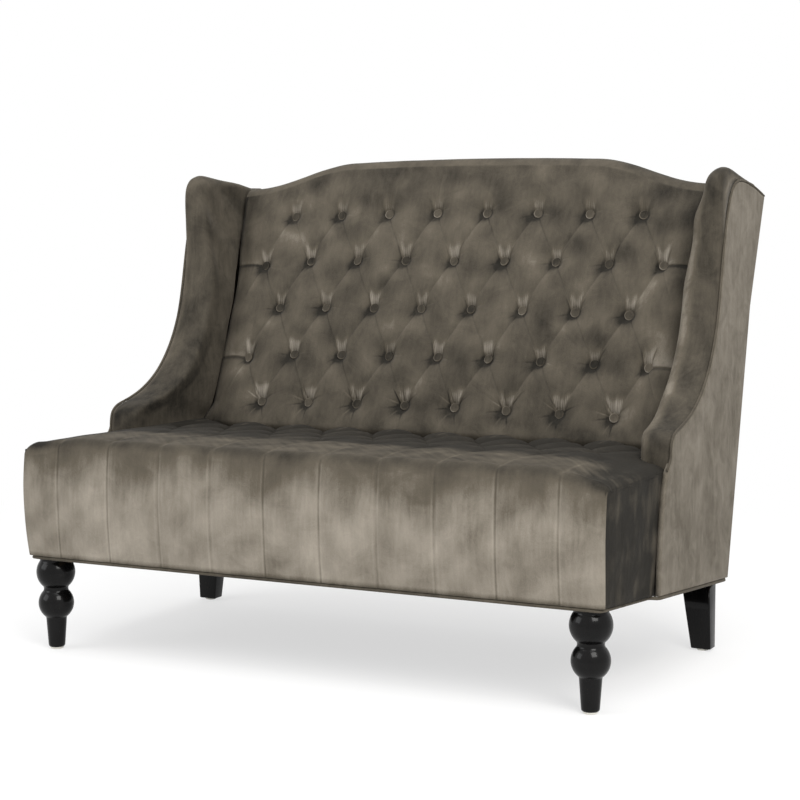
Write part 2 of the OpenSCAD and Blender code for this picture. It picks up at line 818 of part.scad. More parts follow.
// One column of the back cover as [x, up, forward]
function back_ring(x) =
    let (top = crown_s - crown_drop(x),
         rear = -outside_n + 2 * gap,
         row_s = function (v) top_row_up - bow(x) - v * row_pitch)
    concat(
        [[x, pad_bottom_s, -pad_back_n], [x, top - cap_t, -pad_back_n],
            [x, top - cap_t, rear], [x, top - cap_t / 4, rear]],
        [for (k = cap_shares) [x, top - k[1] * cap_t * 2, -k[0] * back_t]],
        [for (s = [top - cap_reach, mix(top, row_s(0), above_share)]) [x, s, back_forward(x, s)]],
        [for (j = [0 : 3 * (rows_n - 1)]) let (s = row_s(j / 3)) [x, s, back_forward(x, s)]],
        [[x, pad_bottom_s + first_fold, back_forward(x, pad_bottom_s + first_fold)]],
        [[x, pad_bottom_s, 0]]
    );

module back_cover() {
    color(dark_velvet) on_back() loft([for (x = back_columns) back_ring(x)]);
}

// Buttons: eight and nine in turn, covered domes with a flat rim
button_h = 7;
button_rim = 2;

module button() {
    rotate_extrude() intersection() {
        translate([0, button_h - button_cap_r()]) circle(r = button_cap_r());
        square([button_dia / 2, button_h]);
    }
}

function button_cap_r() =
    (pow(button_dia / 2, 2) + pow(button_h - button_rim, 2)) / (2 * (button_h - button_rim));

module back_buttons() {
    color(velvet) on_back() for (row = [0 : rows_n - 1]) {
        count = row % 2 == 0 ? cols_n : cols_n + 1;
        for (i = [0 : count - 1]) {
            x = (i - (count - 1) / 2) * button_pitch;
            translate([x, top_row_up - bow(x) - row * row_pitch, button_seat]) button();
        }
    }
}

// Buttons rest on the folds that rise round each pull
button_seat = crest * tuft(button_pitch / 3, 0) * (button_dia / 2) / (button_pitch / 6) + gap;

// Outside back: a board and cover from the base to the crown, bent at the knee
module outside_back() {
    half = half_w - panel_t - 2 * gap;
    steps = 24;
    low = rear_clear + welt_dia / 2 + gap;
    outer = [
        [rear_y(low), low], [rear_y(knee_z(0)), knee_z(0)], back_point(back_top_s + far / 100, back_t)
    ];
    inner = [
        back_point(back_top_s + far / 100, outside_n),
        [rear_y(knee_z(outside_t), outside_t), knee_z(outside_t)], [rear_y(low, outside_t), low]
    ];
    color(dark_velvet) intersection() {
        side_profile(-half, half, concat(outer, inner));
        on_back() translate([0, 0, -far / 2]) linear_extrude(far) polygon(concat(
            [[-half, -far / 4], [half, -far / 4], [half, wing_corner_s - seam_in]],
            [for (i = [0 : steps]) let (x = back_half_w * (1 - 2 * i / steps))
                [x, back_top_s - crown_drop(x)]],
            [[-half, wing_corner_s - seam_in]]
        ));
    }
}

// Wing upholstery

// The roll's section: distance in from the edge, and x as a share from the inner face to the seam
roll_shares = [
    [0.34, 1], [0.21, 0.97], [0.09, 0.88], [0.015, 0.7], [0, 0.5], [0.03, 0.28], [0.14, 0.1],
    [0.38, 0.01], [1, 0]
];

function wing_section(p, q) =
    let (run = norm(q - p),
         roll = min(roll_d, run / 2),
         seam_x = half_w - panel_t - gap,
         at = function (d, x) let (w = toward(p, q, d)) [x, w[0], w[1]])
    concat(
        [for (k = roll_shares) at(k[0] * roll, mix(wing_in_x, seam_x, k[1]))],
        [at(mix(roll, run, 0.5), wing_in_x - wing_grow), at(run, back_half_w + gap)],
        [at(run, board_x - gap), at(board_in - gap, board_x - gap), at(board_in - gap, seam_x)]
    );

// A wing's padding, with its top carried back over the post to the outside back
module wing_pad() {
    rows = len(wing_edge);
    over_post_n = [outside_n - 2 * gap, wing_back_n];
    loft(concat(
        [for (n = over_post_n) wing_section(back_point(wing_corner_s, n), back_point(post_top_s + gap, n))],
        [for (i = [1 : rows]) wing_section(wing_edge[rows - i], wing_back[rows - i])]
    ));
}

module left_wing_pad() {
    color(velvet) mirror([1, 0, 0]) wing_pad();
}

module right_wing_pad() {
    color(velvet) wing_pad();
}

// Where the outside panel's edge turns from the seam down to the toe
panel_corner = [arm_y, mix(base_z(arm_y), seat_h, 0.93)];

// The seam between a wing and its outside panel, from the toe up and back
function panel_seam() =
    let (edge = inset_edge(seam_in))
    concat(
        [panel_corner], [for (i = [1 : len(edge) - 1]) edge[i]],
        [back_point(wing_corner_s - seam_in, back_t)]
    );

// A path in y and z moved aside by d
function beside(path, d) =
    let (last = len(path) - 1, turned = function (v) [-v[1], v[0]])
    [for (i = [0 : last])
        let (before = turned(unit(path[max(i, 1)] - path[max(i, 1) - 1])),
             after = turned(unit(path[min(i, last - 1) + 1] - path[min(i, last - 1)])),
             out = unit(before + after))
        path[i] + d * out / (out * before)];

// Outside panel: follows the seam, then falls to the toe at the base
module outside_panel() {
    low = welt_dia / 2 + gap;
    above_base(low) side_profile(half_w - panel_t, half_w, concat(
        [[arm_y - panel_toe, 0], [arm_y - panel_toe, base_z(arm_y) + low],
            [arm_y - panel_toe / 2, mix(base_z(arm_y), seat_h, 0.75)]],
        panel_seam(),
        [[rear_y(knee_z(0)), knee_z(0)], [rear_y(0), 0]]
    ));
}

module left_outside_panel() {
    color(velvet) mirror([1, 0, 0]) outside_panel();
}

module right_outside_panel() {
    color(velvet) outside_panel();
}

// Welt between the roll and the outside panel
module wing_welt() {
    path = beside(panel_seam(), welt_dia / 2 + gap);
    tube([for (p = path) [half_w - welt_dia / 2, p[0], p[1]]], welt_dia, [-1, 0, 0]);
}

module left_wing_welt() {
    color(velvet) mirror([1, 0, 0]) wing_welt();
}

module right_wing_welt() {
    color(velvet) wing_welt();
}

// Welt round the bottom of the covers, with its ends together at the middle of the back
module base_welt() {
    side_x = seat_end_x - welt_dia / 2;
    panel_x = half_w - welt_dia / 2;
    toe_y = arm_y - panel_toe;
    back_edge = base_back_y - welt_dia / 2;
    half_path = [
        [gap, back_edge], [panel_x - welt_dia, back_edge], [panel_x, back_edge - welt_dia],
        [panel_x, toe_y + welt_dia / 2], [side_x, toe_y - welt_dia / 2],
        [side_x, edge_y + 1.5 * welt_dia], [side_x - welt_dia, edge_y + welt_dia / 2]
    ];
    count = len(half_path);
    path = concat(
        [for (p = half_path) [p[0], p[1], base_z(p[1])]],
        [for (i = [1 : count]) let (p = half_path[count - i]) [-p[0], p[1], base_z(p[1])]]
    );
    color(dark_velvet) tube(path, welt_dia, [0, 0, -1]);
}

dust_t = 1;

// Dust cover under the rails, cut out round the legs
module dust_cover() {
    color(cambric) difference() {
        translate([0, edge_y, front_clear]) rotate([-slope, 0, 0])
            translate([-rail_out_x, cover_t, -dust_t]) cube([2 * rail_out_x, base_d - 2 * cover_t, dust_t]);
        both_sides() {
            translate([leg_x - collar_dia / 2 - gap, leg_y - collar_dia, 0])
                cube([2 * collar_dia, 1.5 * collar_dia + gap, far]);
            translate([rear_leg_x - rear_leg_w - gap, rear_leg_y - gap, 0])
                cube([2 * rear_leg_w, 2 * rear_leg_d, far]);
        }
    }
}

front_left_leg();
front_right_leg();
rear_left_leg();
rear_right_leg();
foot_glides();
leg_bolts();
corner_blocks();
front_rail();
back_rail();
left_side_rail();
right_side_rail();
centre_stretcher();
left_back_post();
right_back_post();
left_wing_board();
right_wing_board();
top_rail();
tack_rail();
back_stiles();
frame_screws();
seat_springs();
spring_clips();
deck_cloth();
seat_foam();
seat_cover();
back_webbing();
back_foam();
back_cover();
back_buttons();
outside_back();
left_wing_pad();
right_wing_pad();
left_outside_panel();
right_outside_panel();
left_wing_welt();
right_wing_welt();
base_welt();
dust_cover();
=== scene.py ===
import json
import math
import bpy
import numpy as np
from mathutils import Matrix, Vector


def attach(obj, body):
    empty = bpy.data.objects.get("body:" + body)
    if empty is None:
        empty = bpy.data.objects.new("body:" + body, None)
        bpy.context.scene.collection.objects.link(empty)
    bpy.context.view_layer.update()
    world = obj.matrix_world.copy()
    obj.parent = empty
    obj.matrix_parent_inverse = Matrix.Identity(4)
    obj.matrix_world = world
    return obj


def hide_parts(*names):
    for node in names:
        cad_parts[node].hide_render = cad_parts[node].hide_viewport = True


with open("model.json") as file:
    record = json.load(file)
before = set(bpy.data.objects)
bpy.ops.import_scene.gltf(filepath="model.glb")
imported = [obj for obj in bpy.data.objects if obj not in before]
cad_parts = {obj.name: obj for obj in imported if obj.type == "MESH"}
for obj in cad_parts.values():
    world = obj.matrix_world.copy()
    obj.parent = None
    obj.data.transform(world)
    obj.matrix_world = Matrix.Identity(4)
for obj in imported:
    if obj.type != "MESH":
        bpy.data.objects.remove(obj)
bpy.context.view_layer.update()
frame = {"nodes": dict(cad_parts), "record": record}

MM = 0.001

# Sizes as in the part's source, in mm
BODY_W, CROWN_H, WING_H, SEAT_H = 1300.0, 1024.0, 996.0, 430.0
SEAT_D, BASE_D, RAKE, REAR_LEAN = 569.0, 665.0, math.radians(21.5), math.radians(12.9)
FRONT_CLEAR, REAR_CLEAR = 195.0, 147.0
FRONT_CROWN, SIDE_CROWN, SEAT_CROWN, SEAT_FALL, FIRST_TUFT_SET = 13.0, 8.0, 16.0, 10.0, 213.0
PITCH, ROW_PITCH, TOP_ROW, ROW_BOW, ROWS, COLS = 122.3, 112.5, 507.0, 8.0, 5, 8
BACK_T, OUTSIDE_T, BACK_IN, BACK_LIP, RIDGE_N = 107.0, 9.0, 75.0, 14.0, 30.0
CROWN_FALL, CROWN_ARCH, CROWN_FLAT_SHARE, CROWN_END_SHARE = 57.0, 5.0, 0.504, 0.974
ARM_SET, WING_REACH, WING_T, ROLL_D, TOE = 290.0, 293.0, 66.0, 42.0, 36.0
WING_BACK_N, TOP_FALL, BACK_LINE_LOW, CORNER_BELOW = 59.0, 70.0, -90.0, 50.0
WING_FOOT_Z, SEAM_IN, BOARD_IN, BOARD_T, FRAME_IN = 342.0, 13.0, 22.0, 18.0, 28.0
PANEL_T, WELT, GAP, COVER_T, GLIDE_H = 9.7, 7.0, 0.3, 14.0, 4
LEG_INSET_X, LEG_INSET_Y, REAR_INSET, REAR_STEP = 54, 40, 23, 8
REAR_LEG_W, REAR_FOOT_W, REAR_LEG_D, REAR_FOOT_D = 63, 42, 44, 32

# Places worked out from them
HALF_W = BODY_W / 2
SIN, COS, TAN = math.sin(RAKE), math.cos(RAKE), math.tan(RAKE)
REAR_COS, REAR_TAN = math.cos(REAR_LEAN), math.tan(REAR_LEAN)
CROWN_S = (CROWN_H - SEAT_H + RIDGE_N * SIN) / COS
BACK_TOP_S = CROWN_S - BACK_LIP
BODY_D = FRONT_CROWN + SEAT_D + BACK_TOP_S * SIN + BACK_T * COS
EDGE_Y = -BODY_D / 2 + FRONT_CROWN
BASE_BACK_Y = EDGE_Y + BASE_D
BACK_Y = EDGE_Y + SEAT_D
SLOPE = (FRONT_CLEAR - REAR_CLEAR) / BASE_D
BACK_HALF = HALF_W - BACK_IN
OUTSIDE_N = BACK_T - OUTSIDE_T
ROW_END = COLS / 2 * PITCH
FIRST_TUFT = EDGE_Y + FIRST_TUFT_SET
SEAT_END = HALF_W - PANEL_T - GAP - SIDE_CROWN
ARM_Y = EDGE_Y + ARM_SET
WING_IN = HALF_W - WING_T
WING_CORNER_S = CROWN_S - CORNER_BELOW
WING_LINE_TOP = WING_CORNER_S - TOP_FALL
BOARD_X = HALF_W - FRAME_IN

# How far a wing's inner face swells in over the board, and the radius of the panels' piping
WING_SWELL, SEAM_R = 19.0, 2.5


def base_z(y):
    """Height of the base's sloping underside."""
    return FRONT_CLEAR - (y - EDGE_Y) * SLOPE


def back_point(s, n):
    """y and z at s up the back's plane and n behind it."""
    return (BACK_Y + s * SIN + n * COS, SEAT_H + s * COS - n * SIN)


def xyz(x, y, z):
    """Points from their coordinates."""
    return np.stack(np.broadcast_arrays(x, y, z), axis=-1)


def on_back(x, s, f):
    """Points from x, their way up the back and their distance forward of its plane."""
    return xyz(x, BACK_Y + s * SIN - f * COS, SEAT_H + s * COS + f * SIN)


def rear_y(z, inset=0.0):
    """The lower outside back's y at height z."""
    return BASE_BACK_Y + (z - REAR_CLEAR) * REAR_TAN - inset / REAR_COS


def knee_z(inset):
    """Height where the lower outside back meets the upper one."""
    return ((BASE_BACK_Y - REAR_CLEAR * REAR_TAN - inset / REAR_COS
             - BACK_Y + SEAT_H * TAN - (BACK_T - inset) / COS) / (TAN - REAR_TAN))


def crown_drop(x):
    """Drop of the crown at x, along the back."""
    start, end = CROWN_FLAT_SHARE * BACK_HALF, CROWN_END_SHARE * BACK_HALF
    t = np.clip((np.abs(x) - start) / (end - start), 0, 1)
    return (CROWN_FALL * (1 - np.cos(np.pi * t)) / 2
            + CROWN_ARCH * np.minimum(1, (x / start) ** 2)) / COS


def bow(x):
    """Fall of a row of buttons towards its ends."""
    return ROW_BOW * (x / ROW_END) ** 2


def smooth(t):
    """A soft step from 0 to 1."""
    t = np.clip(t, 0, 1)
    return t * t * (3 - 2 * t)


def rise(x, start, run):
    """A soft step from 0 at start to 1 a run further on."""
    return smooth((x - start) / run)


def fall(x, end, run):
    """A soft step from 1 down to 0 at the end, over a run."""
    return smooth((end - x) / run)


def hill(x, width, at=0):
    """A soft hill of height 1."""
    return np.exp(-((x - at) / width) ** 2)


def fade(x, length):
    """1 up to 0, and from there a fall over a length."""
    return np.exp(-np.maximum(0, x) / length)


def wave(x, y, scale, seed, n=10):
    """A smooth irregular field from -1 to 1, from sines of fixed seeded directions."""
    r = np.random.default_rng(seed)
    total = np.zeros(np.broadcast(x, y).shape)
    for _ in range(n):
        a = r.uniform(0, 2 * np.pi)
        k = 2 * np.pi / scale * r.uniform(0.6, 1.6)
        total += np.sin((x * np.cos(a) + y * np.sin(a)) * k + r.uniform(0, 2 * np.pi))
    return total / math.sqrt(n / 2) / 2


def catmull(points, per):
    """A smooth path through points, with a number of steps from each to the next."""
    p = np.array(points, float)
    q = np.vstack([2 * p[0] - p[1], p, 2 * p[-1] - p[-2]])
    out = []
    for i in range(1, len(q) - 2):
        for k in range(per):
            t = k / per
            out.append(0.5 * ((2 * q[i]) + (q[i + 1] - q[i - 1]) * t
                              + (2 * q[i - 1] - 5 * q[i] + 4 * q[i + 1] - q[i + 2]) * t ** 2
                              + (3 * q[i] - q[i - 1] - 3 * q[i + 1] + q[i + 2]) * t ** 3))
    out.append(p[-1])
    return np.array(out)


# Materials

def node(tree, kind, **values):
    """A shader node with its inputs and settings."""
    n = tree.nodes.new(kind)
    for k, v in values.items():
        if k in n.inputs:
            n.inputs[k].default_value = v
        else:
            setattr(n, k, v)
    return n


def new_material(name, values):
    """A material, its node tree and its shader with values for the inputs."""
    m = bpy.data.materials.new(name)
    m.use_nodes = True
    shader = m.node_tree.nodes["Principled BSDF"]
    for k, v in values.items():
        shader.inputs[k].default_value = v
    return m, m.node_tree, shader


def ramp(tree, source, stops):
    r = tree.nodes.new("ShaderNodeValToRGB")
    while len(r.color_ramp.elements) < len(stops):
        r.color_ramp.elements.new(0.5)
    for e, (p, c) in zip(r.color_ramp.elements, stops):
        e.position, e.color = p, (c[0], c[1], c[2], 1)
    tree.links.new(source, r.inputs[0])
    return r.outputs[0]


def math_node(tree, op, a, b):
    m = tree.nodes.new("ShaderNodeMath")
    m.operation = op
    for i, v in enumerate((a, b)):
        if isinstance(v, (int, float)):
            m.inputs[i].default_value = v
        else:
            tree.links.new(v, m.inputs[i])
    return m.outputs[0]


def noise(tree, place, stretch=None, **values):
    """Noise at a point's place, or at that place times stretch."""
    if stretch:
        mapping = node(tree, "ShaderNodeMapping", Scale=stretch)
        tree.links.new(place, mapping.inputs["Vector"])
        place = mapping.outputs[0]
    n = node(tree, "ShaderNodeTexNoise", **values)
    tree.links.new(place, n.inputs["Vector"])
    return n.outputs["Fac"]


def bumped(tree, height, strength, distance, over=None):
    """The normal of a bump, over another bump's normal if given."""
    bump = node(tree, "ShaderNodeBump", Strength=strength, Distance=distance)
    tree.links.new(height, bump.inputs["Height"])
    if over:
        tree.links.new(over, bump.inputs["Normal"])
    return bump.outputs[0]


# The nap's colour at its darkest, for dark brushing and painted shade, in between, and at its lightest, where
# it catches the light as a painted highlight
NAP = [(0.0, (0.013, 0.0115, 0.009)), (0.5, (0.092, 0.079, 0.060)), (1.0, (0.31, 0.278, 0.232))]


def velvet(name, toned=True, base=0.5, sheen=0.10, calm=1.0):
    """Velvet: nap with brush marks in blotches and streaks, fine pile, sheen at grazing angles, and the
    painted light and shade of the tone where toned.
    """
    m, t, shader = new_material(name, {
        "Roughness": 0.82, "Specular IOR Level": 0.12, "Sheen Weight": sheen, "Sheen Roughness": 0.34,
        "Sheen Tint": (0.80, 0.76, 0.70, 1)})
    place = node(t, "ShaderNodeNewGeometry").outputs["Position"]
    blotches = noise(t, place, Scale=4.6, Detail=4.0, Roughness=0.62, Distortion=0.8)
    patches = noise(t, place, Scale=16.0, Detail=5.0, Roughness=0.66, Distortion=1.4)
    streaks = noise(t, place, (95, 60, 14), Scale=1.0, Detail=5.0, Roughness=0.7)
    pile = noise(t, place, Scale=900.0, Detail=2.0, Roughness=0.6)
    value = None
    for source, swing in ((blotches, 0.62 * calm), (patches, 0.42 * calm), (streaks, 0.34 * calm),
                          (pile, 0.30)):
        part = math_node(t, "MULTIPLY", math_node(t, "SUBTRACT", source, 0.5), swing)
        value = math_node(t, "ADD", value, part) if value else part
    # the tone attribute adds painted light and shade of folds, pulls and edges to the nap's random variation
    tone = node(t, "ShaderNodeAttribute", attribute_name="tone").outputs["Fac"] if toned else base
    t.links.new(ramp(t, math_node(t, "ADD", value, tone), NAP), shader.inputs["Base Color"])
    fine = bumped(t, pile, 0.35, 0.0006)
    t.links.new(bumped(t, patches, 0.30, 0.004, over=fine), shader.inputs["Normal"])
    return m


def plain(name, colour, rough, scale, vary, bump_mm, metal=0.0, coat=0.0, spec=0.5, stretch=(1, 1, 1)):
    """A finish whose colour, roughness and height follow one noise."""
    m, t, shader = new_material(name, {
        "Metallic": metal, "Coat Weight": coat, "Coat Roughness": 0.12, "Specular IOR Level": spec})
    place = node(t, "ShaderNodeNewGeometry").outputs["Position"]
    grain = noise(t, place, [scale * s for s in stretch], Scale=1.0, Detail=5.0, Roughness=0.6)
    stops = [(p, [c * (1 + sign * vary) for c in colour]) for p, sign in ((0.3, -1), (0.7, 1))]
    t.links.new(ramp(t, grain, stops), shader.inputs["Base Color"])
    swing = 0.16
    shine = math_node(t, "ADD", math_node(t, "MULTIPLY", grain, swing), rough - swing / 2)
    t.links.new(shine, shader.inputs["Roughness"])
    t.links.new(bumped(t, grain, 0.5, bump_mm * MM), shader.inputs["Normal"])
    return m


VELVET = velvet("velvet")
CALM_VELVET = velvet("velvet_calm", calm=0.75)
SEAT_VELVET = velvet("velvet_seat", sheen=0.03, calm=0.6)
WELT_VELVET = velvet("velvet_welt", toned=False, base=0.34)
SATIN = plain("black_satin_wood", (0.003, 0.0028, 0.0028), 0.28, 60, 0.35, 0.05, coat=0.24, spec=0.05,
              stretch=(1, 1, 0.12))
MATERIALS = {
    "velvet": velvet("velvet_plain", toned=False),
    "velvet_back": velvet("velvet_plain_back", toned=False, base=0.45),
    "black_satin_wood": SATIN,
    "timber": plain("timber", (0.56, 0.40, 0.23), 0.55, 40, 0.22, 0.3, stretch=(0.2, 1, 1)),
    "plywood": plain("plywood", (0.48, 0.33, 0.16), 0.6, 55, 0.25, 0.3, stretch=(1, 0.15, 1)),
    "steel": plain("steel", (0.42, 0.43, 0.44), 0.35, 120, 0.12, 0.05, metal=1.0),
    "foam": plain("foam", (0.78, 0.73, 0.55), 0.9, 500, 0.12, 0.8),
    "inner_cloth": plain("inner_cloth", (0.40, 0.30, 0.16), 0.9, 300, 0.3, 0.5),
    "dust_cloth": plain("dust_cloth", (0.012, 0.012, 0.013), 0.85, 420, 0.35, 0.4),
    "nylon": plain("nylon", (0.70, 0.68, 0.62), 0.4, 90, 0.08, 0.1),
}
slots = {s["node"]: s["material_slot"] for s in frame["record"]["subparts"]}
for name, obj in frame["nodes"].items():
    obj.data.materials.clear()
    obj.data.materials.append(MATERIALS[slots[name]])


# Mesh helpers

def new_object(name, data):
    obj = bpy.data.objects.new(name, data)
    bpy.context.scene.collection.objects.link(obj)
    return obj


def piece(name, verts, faces, material, replaces, tone=None, fill=None, slot="velvet"):
    """A mesh in mm as a named piece that rides the body, with a tone at each point: the nap's variation and
    painted light and shade.
    """
    mesh = bpy.data.meshes.new(name)
    mesh.from_pydata([tuple(v) for v in np.reshape(verts, (-1, 3)) * MM], [], faces)
    mesh.update()
    mesh.polygons.foreach_set("use_smooth", [True] * len(mesh.polygons))
    if tone is not None:
        a = mesh.attributes.new("tone", "FLOAT", "POINT")
        a.data.foreach_set("value", np.clip(np.asarray(tone, float).ravel(), 0, 1))
    mesh.materials.append(material)
    obj = new_object(name, mesh)
    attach(obj, "root")
    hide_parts(*replaces)
    return obj


def flat_ends(obj):
    """Shades the faces that close a piece flat."""
    for p in obj.data.polygons:
        if len(p.vertices) > 4:
            p.use_smooth = False


def grid_faces(rows, cols, close_rows=False, close_cols=False, flip=False):
    out = []
    for i in range(rows if close_rows else rows - 1):
        i2 = (i + 1) % rows
        for j in range(cols if close_cols else cols - 1):
            j2 = (j + 1) % cols
            f = (i * cols + j, i * cols + j2, i2 * cols + j2, i2 * cols + j)
            out.append(f[::-1] if flip else f)
    return out


def tube_faces(rows, cols, flip=False):
    """Faces that join rings to a tube and close its two ends."""
    caps = [tuple(range(cols))[::-1], tuple(range((rows - 1) * cols, rows * cols))]
    return grid_faces(rows, cols, close_cols=True, flip=flip) + [f[::-1] if flip else f for f in caps]


def sheet_faces(rows, cols, flip=False):
    """Faces that join rows round a thick sheet and close its two sides."""
    caps = [tuple(range(0, rows * cols, cols))[::-1], tuple(range(cols - 1, rows * cols, cols))]
    return grid_faces(rows, cols, close_rows=True, flip=flip) + [f[::-1] if flip else f for f in caps]


def unit(v):
    return v / np.maximum(1e-9, np.linalg.norm(v, axis=-1, keepdims=True))


def tube_mesh(path, r, sides=12, square=(1, 0, 0), closed=False):
    """A round tube along a path; its rings start square to a direction."""
    p = np.asarray(path, float)
    if closed:
        d = unit(np.roll(p, -1, 0) - np.roll(p, 1, 0))
    else:
        d = unit(np.gradient(p, axis=0))
    sq = np.array(square, float)
    side = unit(sq - d * (d @ sq)[:, None])
    other = np.cross(d, side)
    a = np.linspace(0, 2 * np.pi, sides, endpoint=False)
    rings = p[:, None, :] + r * (np.cos(a)[None, :, None] * side[:, None, :]
                                 + np.sin(a)[None, :, None] * other[:, None, :])
    if closed:
        return rings.reshape(-1, 3), grid_faces(len(p), sides, close_rows=True, close_cols=True)
    return rings.reshape(-1, 3), tube_faces(len(p), sides)


def lathe(profile, sides=96):
    """A profile of radii and heights turned round z."""
    a = np.linspace(0, 2 * np.pi, sides, endpoint=False)
    r, z = np.array(profile, float).T[..., None]
    return xyz(r * np.cos(a), r * np.sin(a), z).reshape(-1, 3), tube_faces(len(profile), sides)


# Tufted back

def button_places():
    """Each button's x, place up the back and row."""
    out = []
    for row in range(ROWS):
        count = COLS if row % 2 == 0 else COLS + 1
        for i in range(count):
            x = (i - (count - 1) / 2) * PITCH
            # the left half's lower rows sag a little inwards, their end buttons also down
            sag = smooth(-x / 200) * (4 if row > 1 else 2 * row)
            end = 7.0 if row % 2 and i == 0 else 0.0
            out.append((x + sag + 0.4 * end, TOP_ROW - bow(x) - row * ROW_PITCH - end, row))
    return out


BUTTONS = button_places()


def diamonds(x, v, sharp):
    """Height between the creases, from 0 to 1, at x and v rows from the first row."""
    a = np.abs(np.sin(np.pi * (x / PITCH + 0.5 + v / 2)))
    b = np.abs(np.sin(np.pi * (x / PITCH + 0.5 - v / 2)))
    return (1 - sharp) * np.sqrt(np.sqrt(a * b + 1e-6)) + sharp * np.sqrt(a * b)


def wing_swell(s):
    """How far a wing's inner face swells in, at s up the back."""
    return WING_SWELL * rise(s, 5, 45) * (1 - rise(s, 320, 180))


def past_rows(x):
    """0 up to the rows' ends and 1 at the back's side edges."""
    return np.clip((np.abs(x) - ROW_END) / (BACK_HALF - ROW_END), 0, 1)


# In the next functions a point lies dx mm right of a button and ds mm up from it, and pick holds the
# button's own random draws from -1 to 1, so that no two pulls are alike

def pulled_cloth(dx, ds, row, pick):
    """Depth of the cloth pulled above a button, between two folds that open upwards, and its tone: a painted
    highlight on the pulled cloth, painted highlights on the folds' ridges and painted shade in the creases
    outside them.
    """
    low, first = row == ROWS - 1, row == 0
    foot_half_w, height = 7.6, 29
    u = dx - (0.10 * pick[0] + 0.05) * ds
    half_w = foot_half_w + 1.3 * pick[1] + (0.19 + 0.05 * pick[2] + 0.10 * low) * ds
    reach = np.abs(u) / np.maximum(half_w, 4)
    ragged = 3 * np.sin(u * (0.23 + 0.05 * pick[4]) + 3 * pick[5])
    end = height + 4 * pick[3] + ragged + 6 * reach + 5 * low
    before_end, fade_out = (18, 28) if first else (12, 22)
    patch = fall(reach, 1.25, 0.58) * rise(ds, 2, 8) \
        * (1 - rise(ds, end - before_end, fade_out))
    streaks = np.sin(u * 0.85 + 5 * pick[6] + 0.016 * ds * u)
    depth = 2.2 * patch * np.clip(1.2 - ds / 45, 0, 1)
    # painted highlight on the pulled cloth, with streaks in it
    light = 0.28 if first else 0.38 + 0.11 * pick[7]
    tone = light * patch * (0.74 + 0.26 * np.minimum(1, reach) ** 2) * (1 + 0.30 * streaks)
    for k, side in enumerate((-1, 1)):
        top = height + 9 * pick[8 + k] + (5 if side > 0 else 0)
        span = rise(ds, -2, 7) * (1 - rise(ds, top - 12, 16)) \
            * (0.2 if first else 1.0) * (0.65 + 0.45 * pick[20 + k])
        edge = side * u - half_w - (0.004 + 0.003 * pick[10 + k]) * ds ** 2
        depth += span * (1.9 * hill(edge, 1.9, 2.6) - 1.3 * hill(edge, 1.8))
        # painted highlight on each fold's ridge, painted shade in the crease outside it
        tone += span * (0.15 * hill(edge, 1.6) - (0.20 + 0.12 * pick[12 + k]) * hill(edge, 1.7, 2.6))
    return depth, tone


def button_shade(dx, ds, low, pick):
    """Tone of the painted shade under and to the left of a button and in a ring round it, and of the painted
    highlight on the next diamond's swell.
    """
    r = np.hypot(dx, ds) + 1e-6
    along = -0.45 * dx - 0.89 * ds
    across = 0.89 * dx - 0.45 * ds
    shade = 0.7 * hill(along, 9 + 1.5 * pick[14], 12) * hill(across, 8.5, 1) \
        + 0.42 * hill(along, 15, 18) * hill(across, 15, -3)
    # painted shade in a ring round the button, most on its lower side
    rim = hill(r, 3.4, 12.5) * (0.62 - 0.38 * ds / r)
    return 0.07 * hill(along, 15, 46) * hill(across, 26) - 0.42 * rim \
        - (0.44 + 0.08 * pick[15] + 0.06 * low) * shade


def long_creases(dx, ds, pick):
    """Depth of the thin creases that run on to the buttons below, and their tone: painted shade in each
    crease and painted light and shade either side of it.
    """
    depth, tone = 0 * dx, 0 * dx
    size = math.hypot(PITCH / 2, ROW_PITCH)
    for side, much, turned in ((1, 1.0 + 0.4 * pick[23], 0.04), (-1, 0.55, 0.10)):
        run = (dx * side * PITCH / 2 - ds * ROW_PITCH) / size
        right = (ds * side * PITCH / 2 + dx * ROW_PITCH) / size
        line = hill(right, 1.5) * rise(run, 8, 8) * fade(run, 48)
        depth += 1.1 * much * line
        # painted shading at the crease: darker on its left, lighter on its right
        run_on = rise(run, 8, 14) * (1 - rise(run, 62, 45))
        tone += turned * run_on * (smooth(right / 2.0) * fade(right, 17)
                                   - 0.7 * fall(right, 2, 4) * fade(-right, 12)) - 0.15 * much * line
    return depth, tone


def short_creases(dx, ds, low, pick):
    """Depth of the short creases round the pull, more of them in the lowest row, and their tone: painted
    highlights and painted shade on alternate creases.
    """
    depth, tone = 0 * dx, 0 * dx
    r, phi = np.hypot(dx, ds) + 1e-6, np.degrees(np.arctan2(dx, ds))
    count, start, step, sway, light, dark, reach = \
        (7, -190, 42, 14, 0.26, -0.24, 16) if low else (2, -120, 200, 30, 0.12, -0.16, 11)
    for k in range(count):
        turn = (phi - (start + step * k + sway * pick[16 + k]) + 180) % 360 - 180
        ray = hill(turn * r, 80) * hill(r, reach, 22)
        depth += 1.1 * ray
        tone += (light if k % 2 else dark) * ray
    return depth, tone


def button_pull(dx, ds, row, pick):
    """Depth round a button, at dx and ds from it, and its tone, with the painted light and shade of the pull.
    """
    low, r = row == ROWS - 1, np.hypot(dx, ds) + 1e-6
    pit, pit_r, bowl, bowl_r = 14.0, 15.5, 4.0, 33
    depth = pit * np.exp(-(r / pit_r) ** 1.8) + bowl * hill(r, bowl_r)
    tone = button_shade(dx, ds, low, pick)
    if row == 0:
        # over the first row it is lighter just right of a line running up from each button towards the crown
        tone += 0.11 * smooth((dx + 2 - 0.06 * ds) / 1.6) * fade(dx, 15) \
            * rise(ds, 22, 16) * (0.6 + 0.4 * pick[22])
    parts = [pulled_cloth(dx, ds, row, pick), short_creases(dx, ds, low, pick)]
    if not low:
        parts.append(long_creases(dx, ds, pick))
    for deeper, lighter in parts:
        depth += deeper
        tone += lighter
    return depth, tone


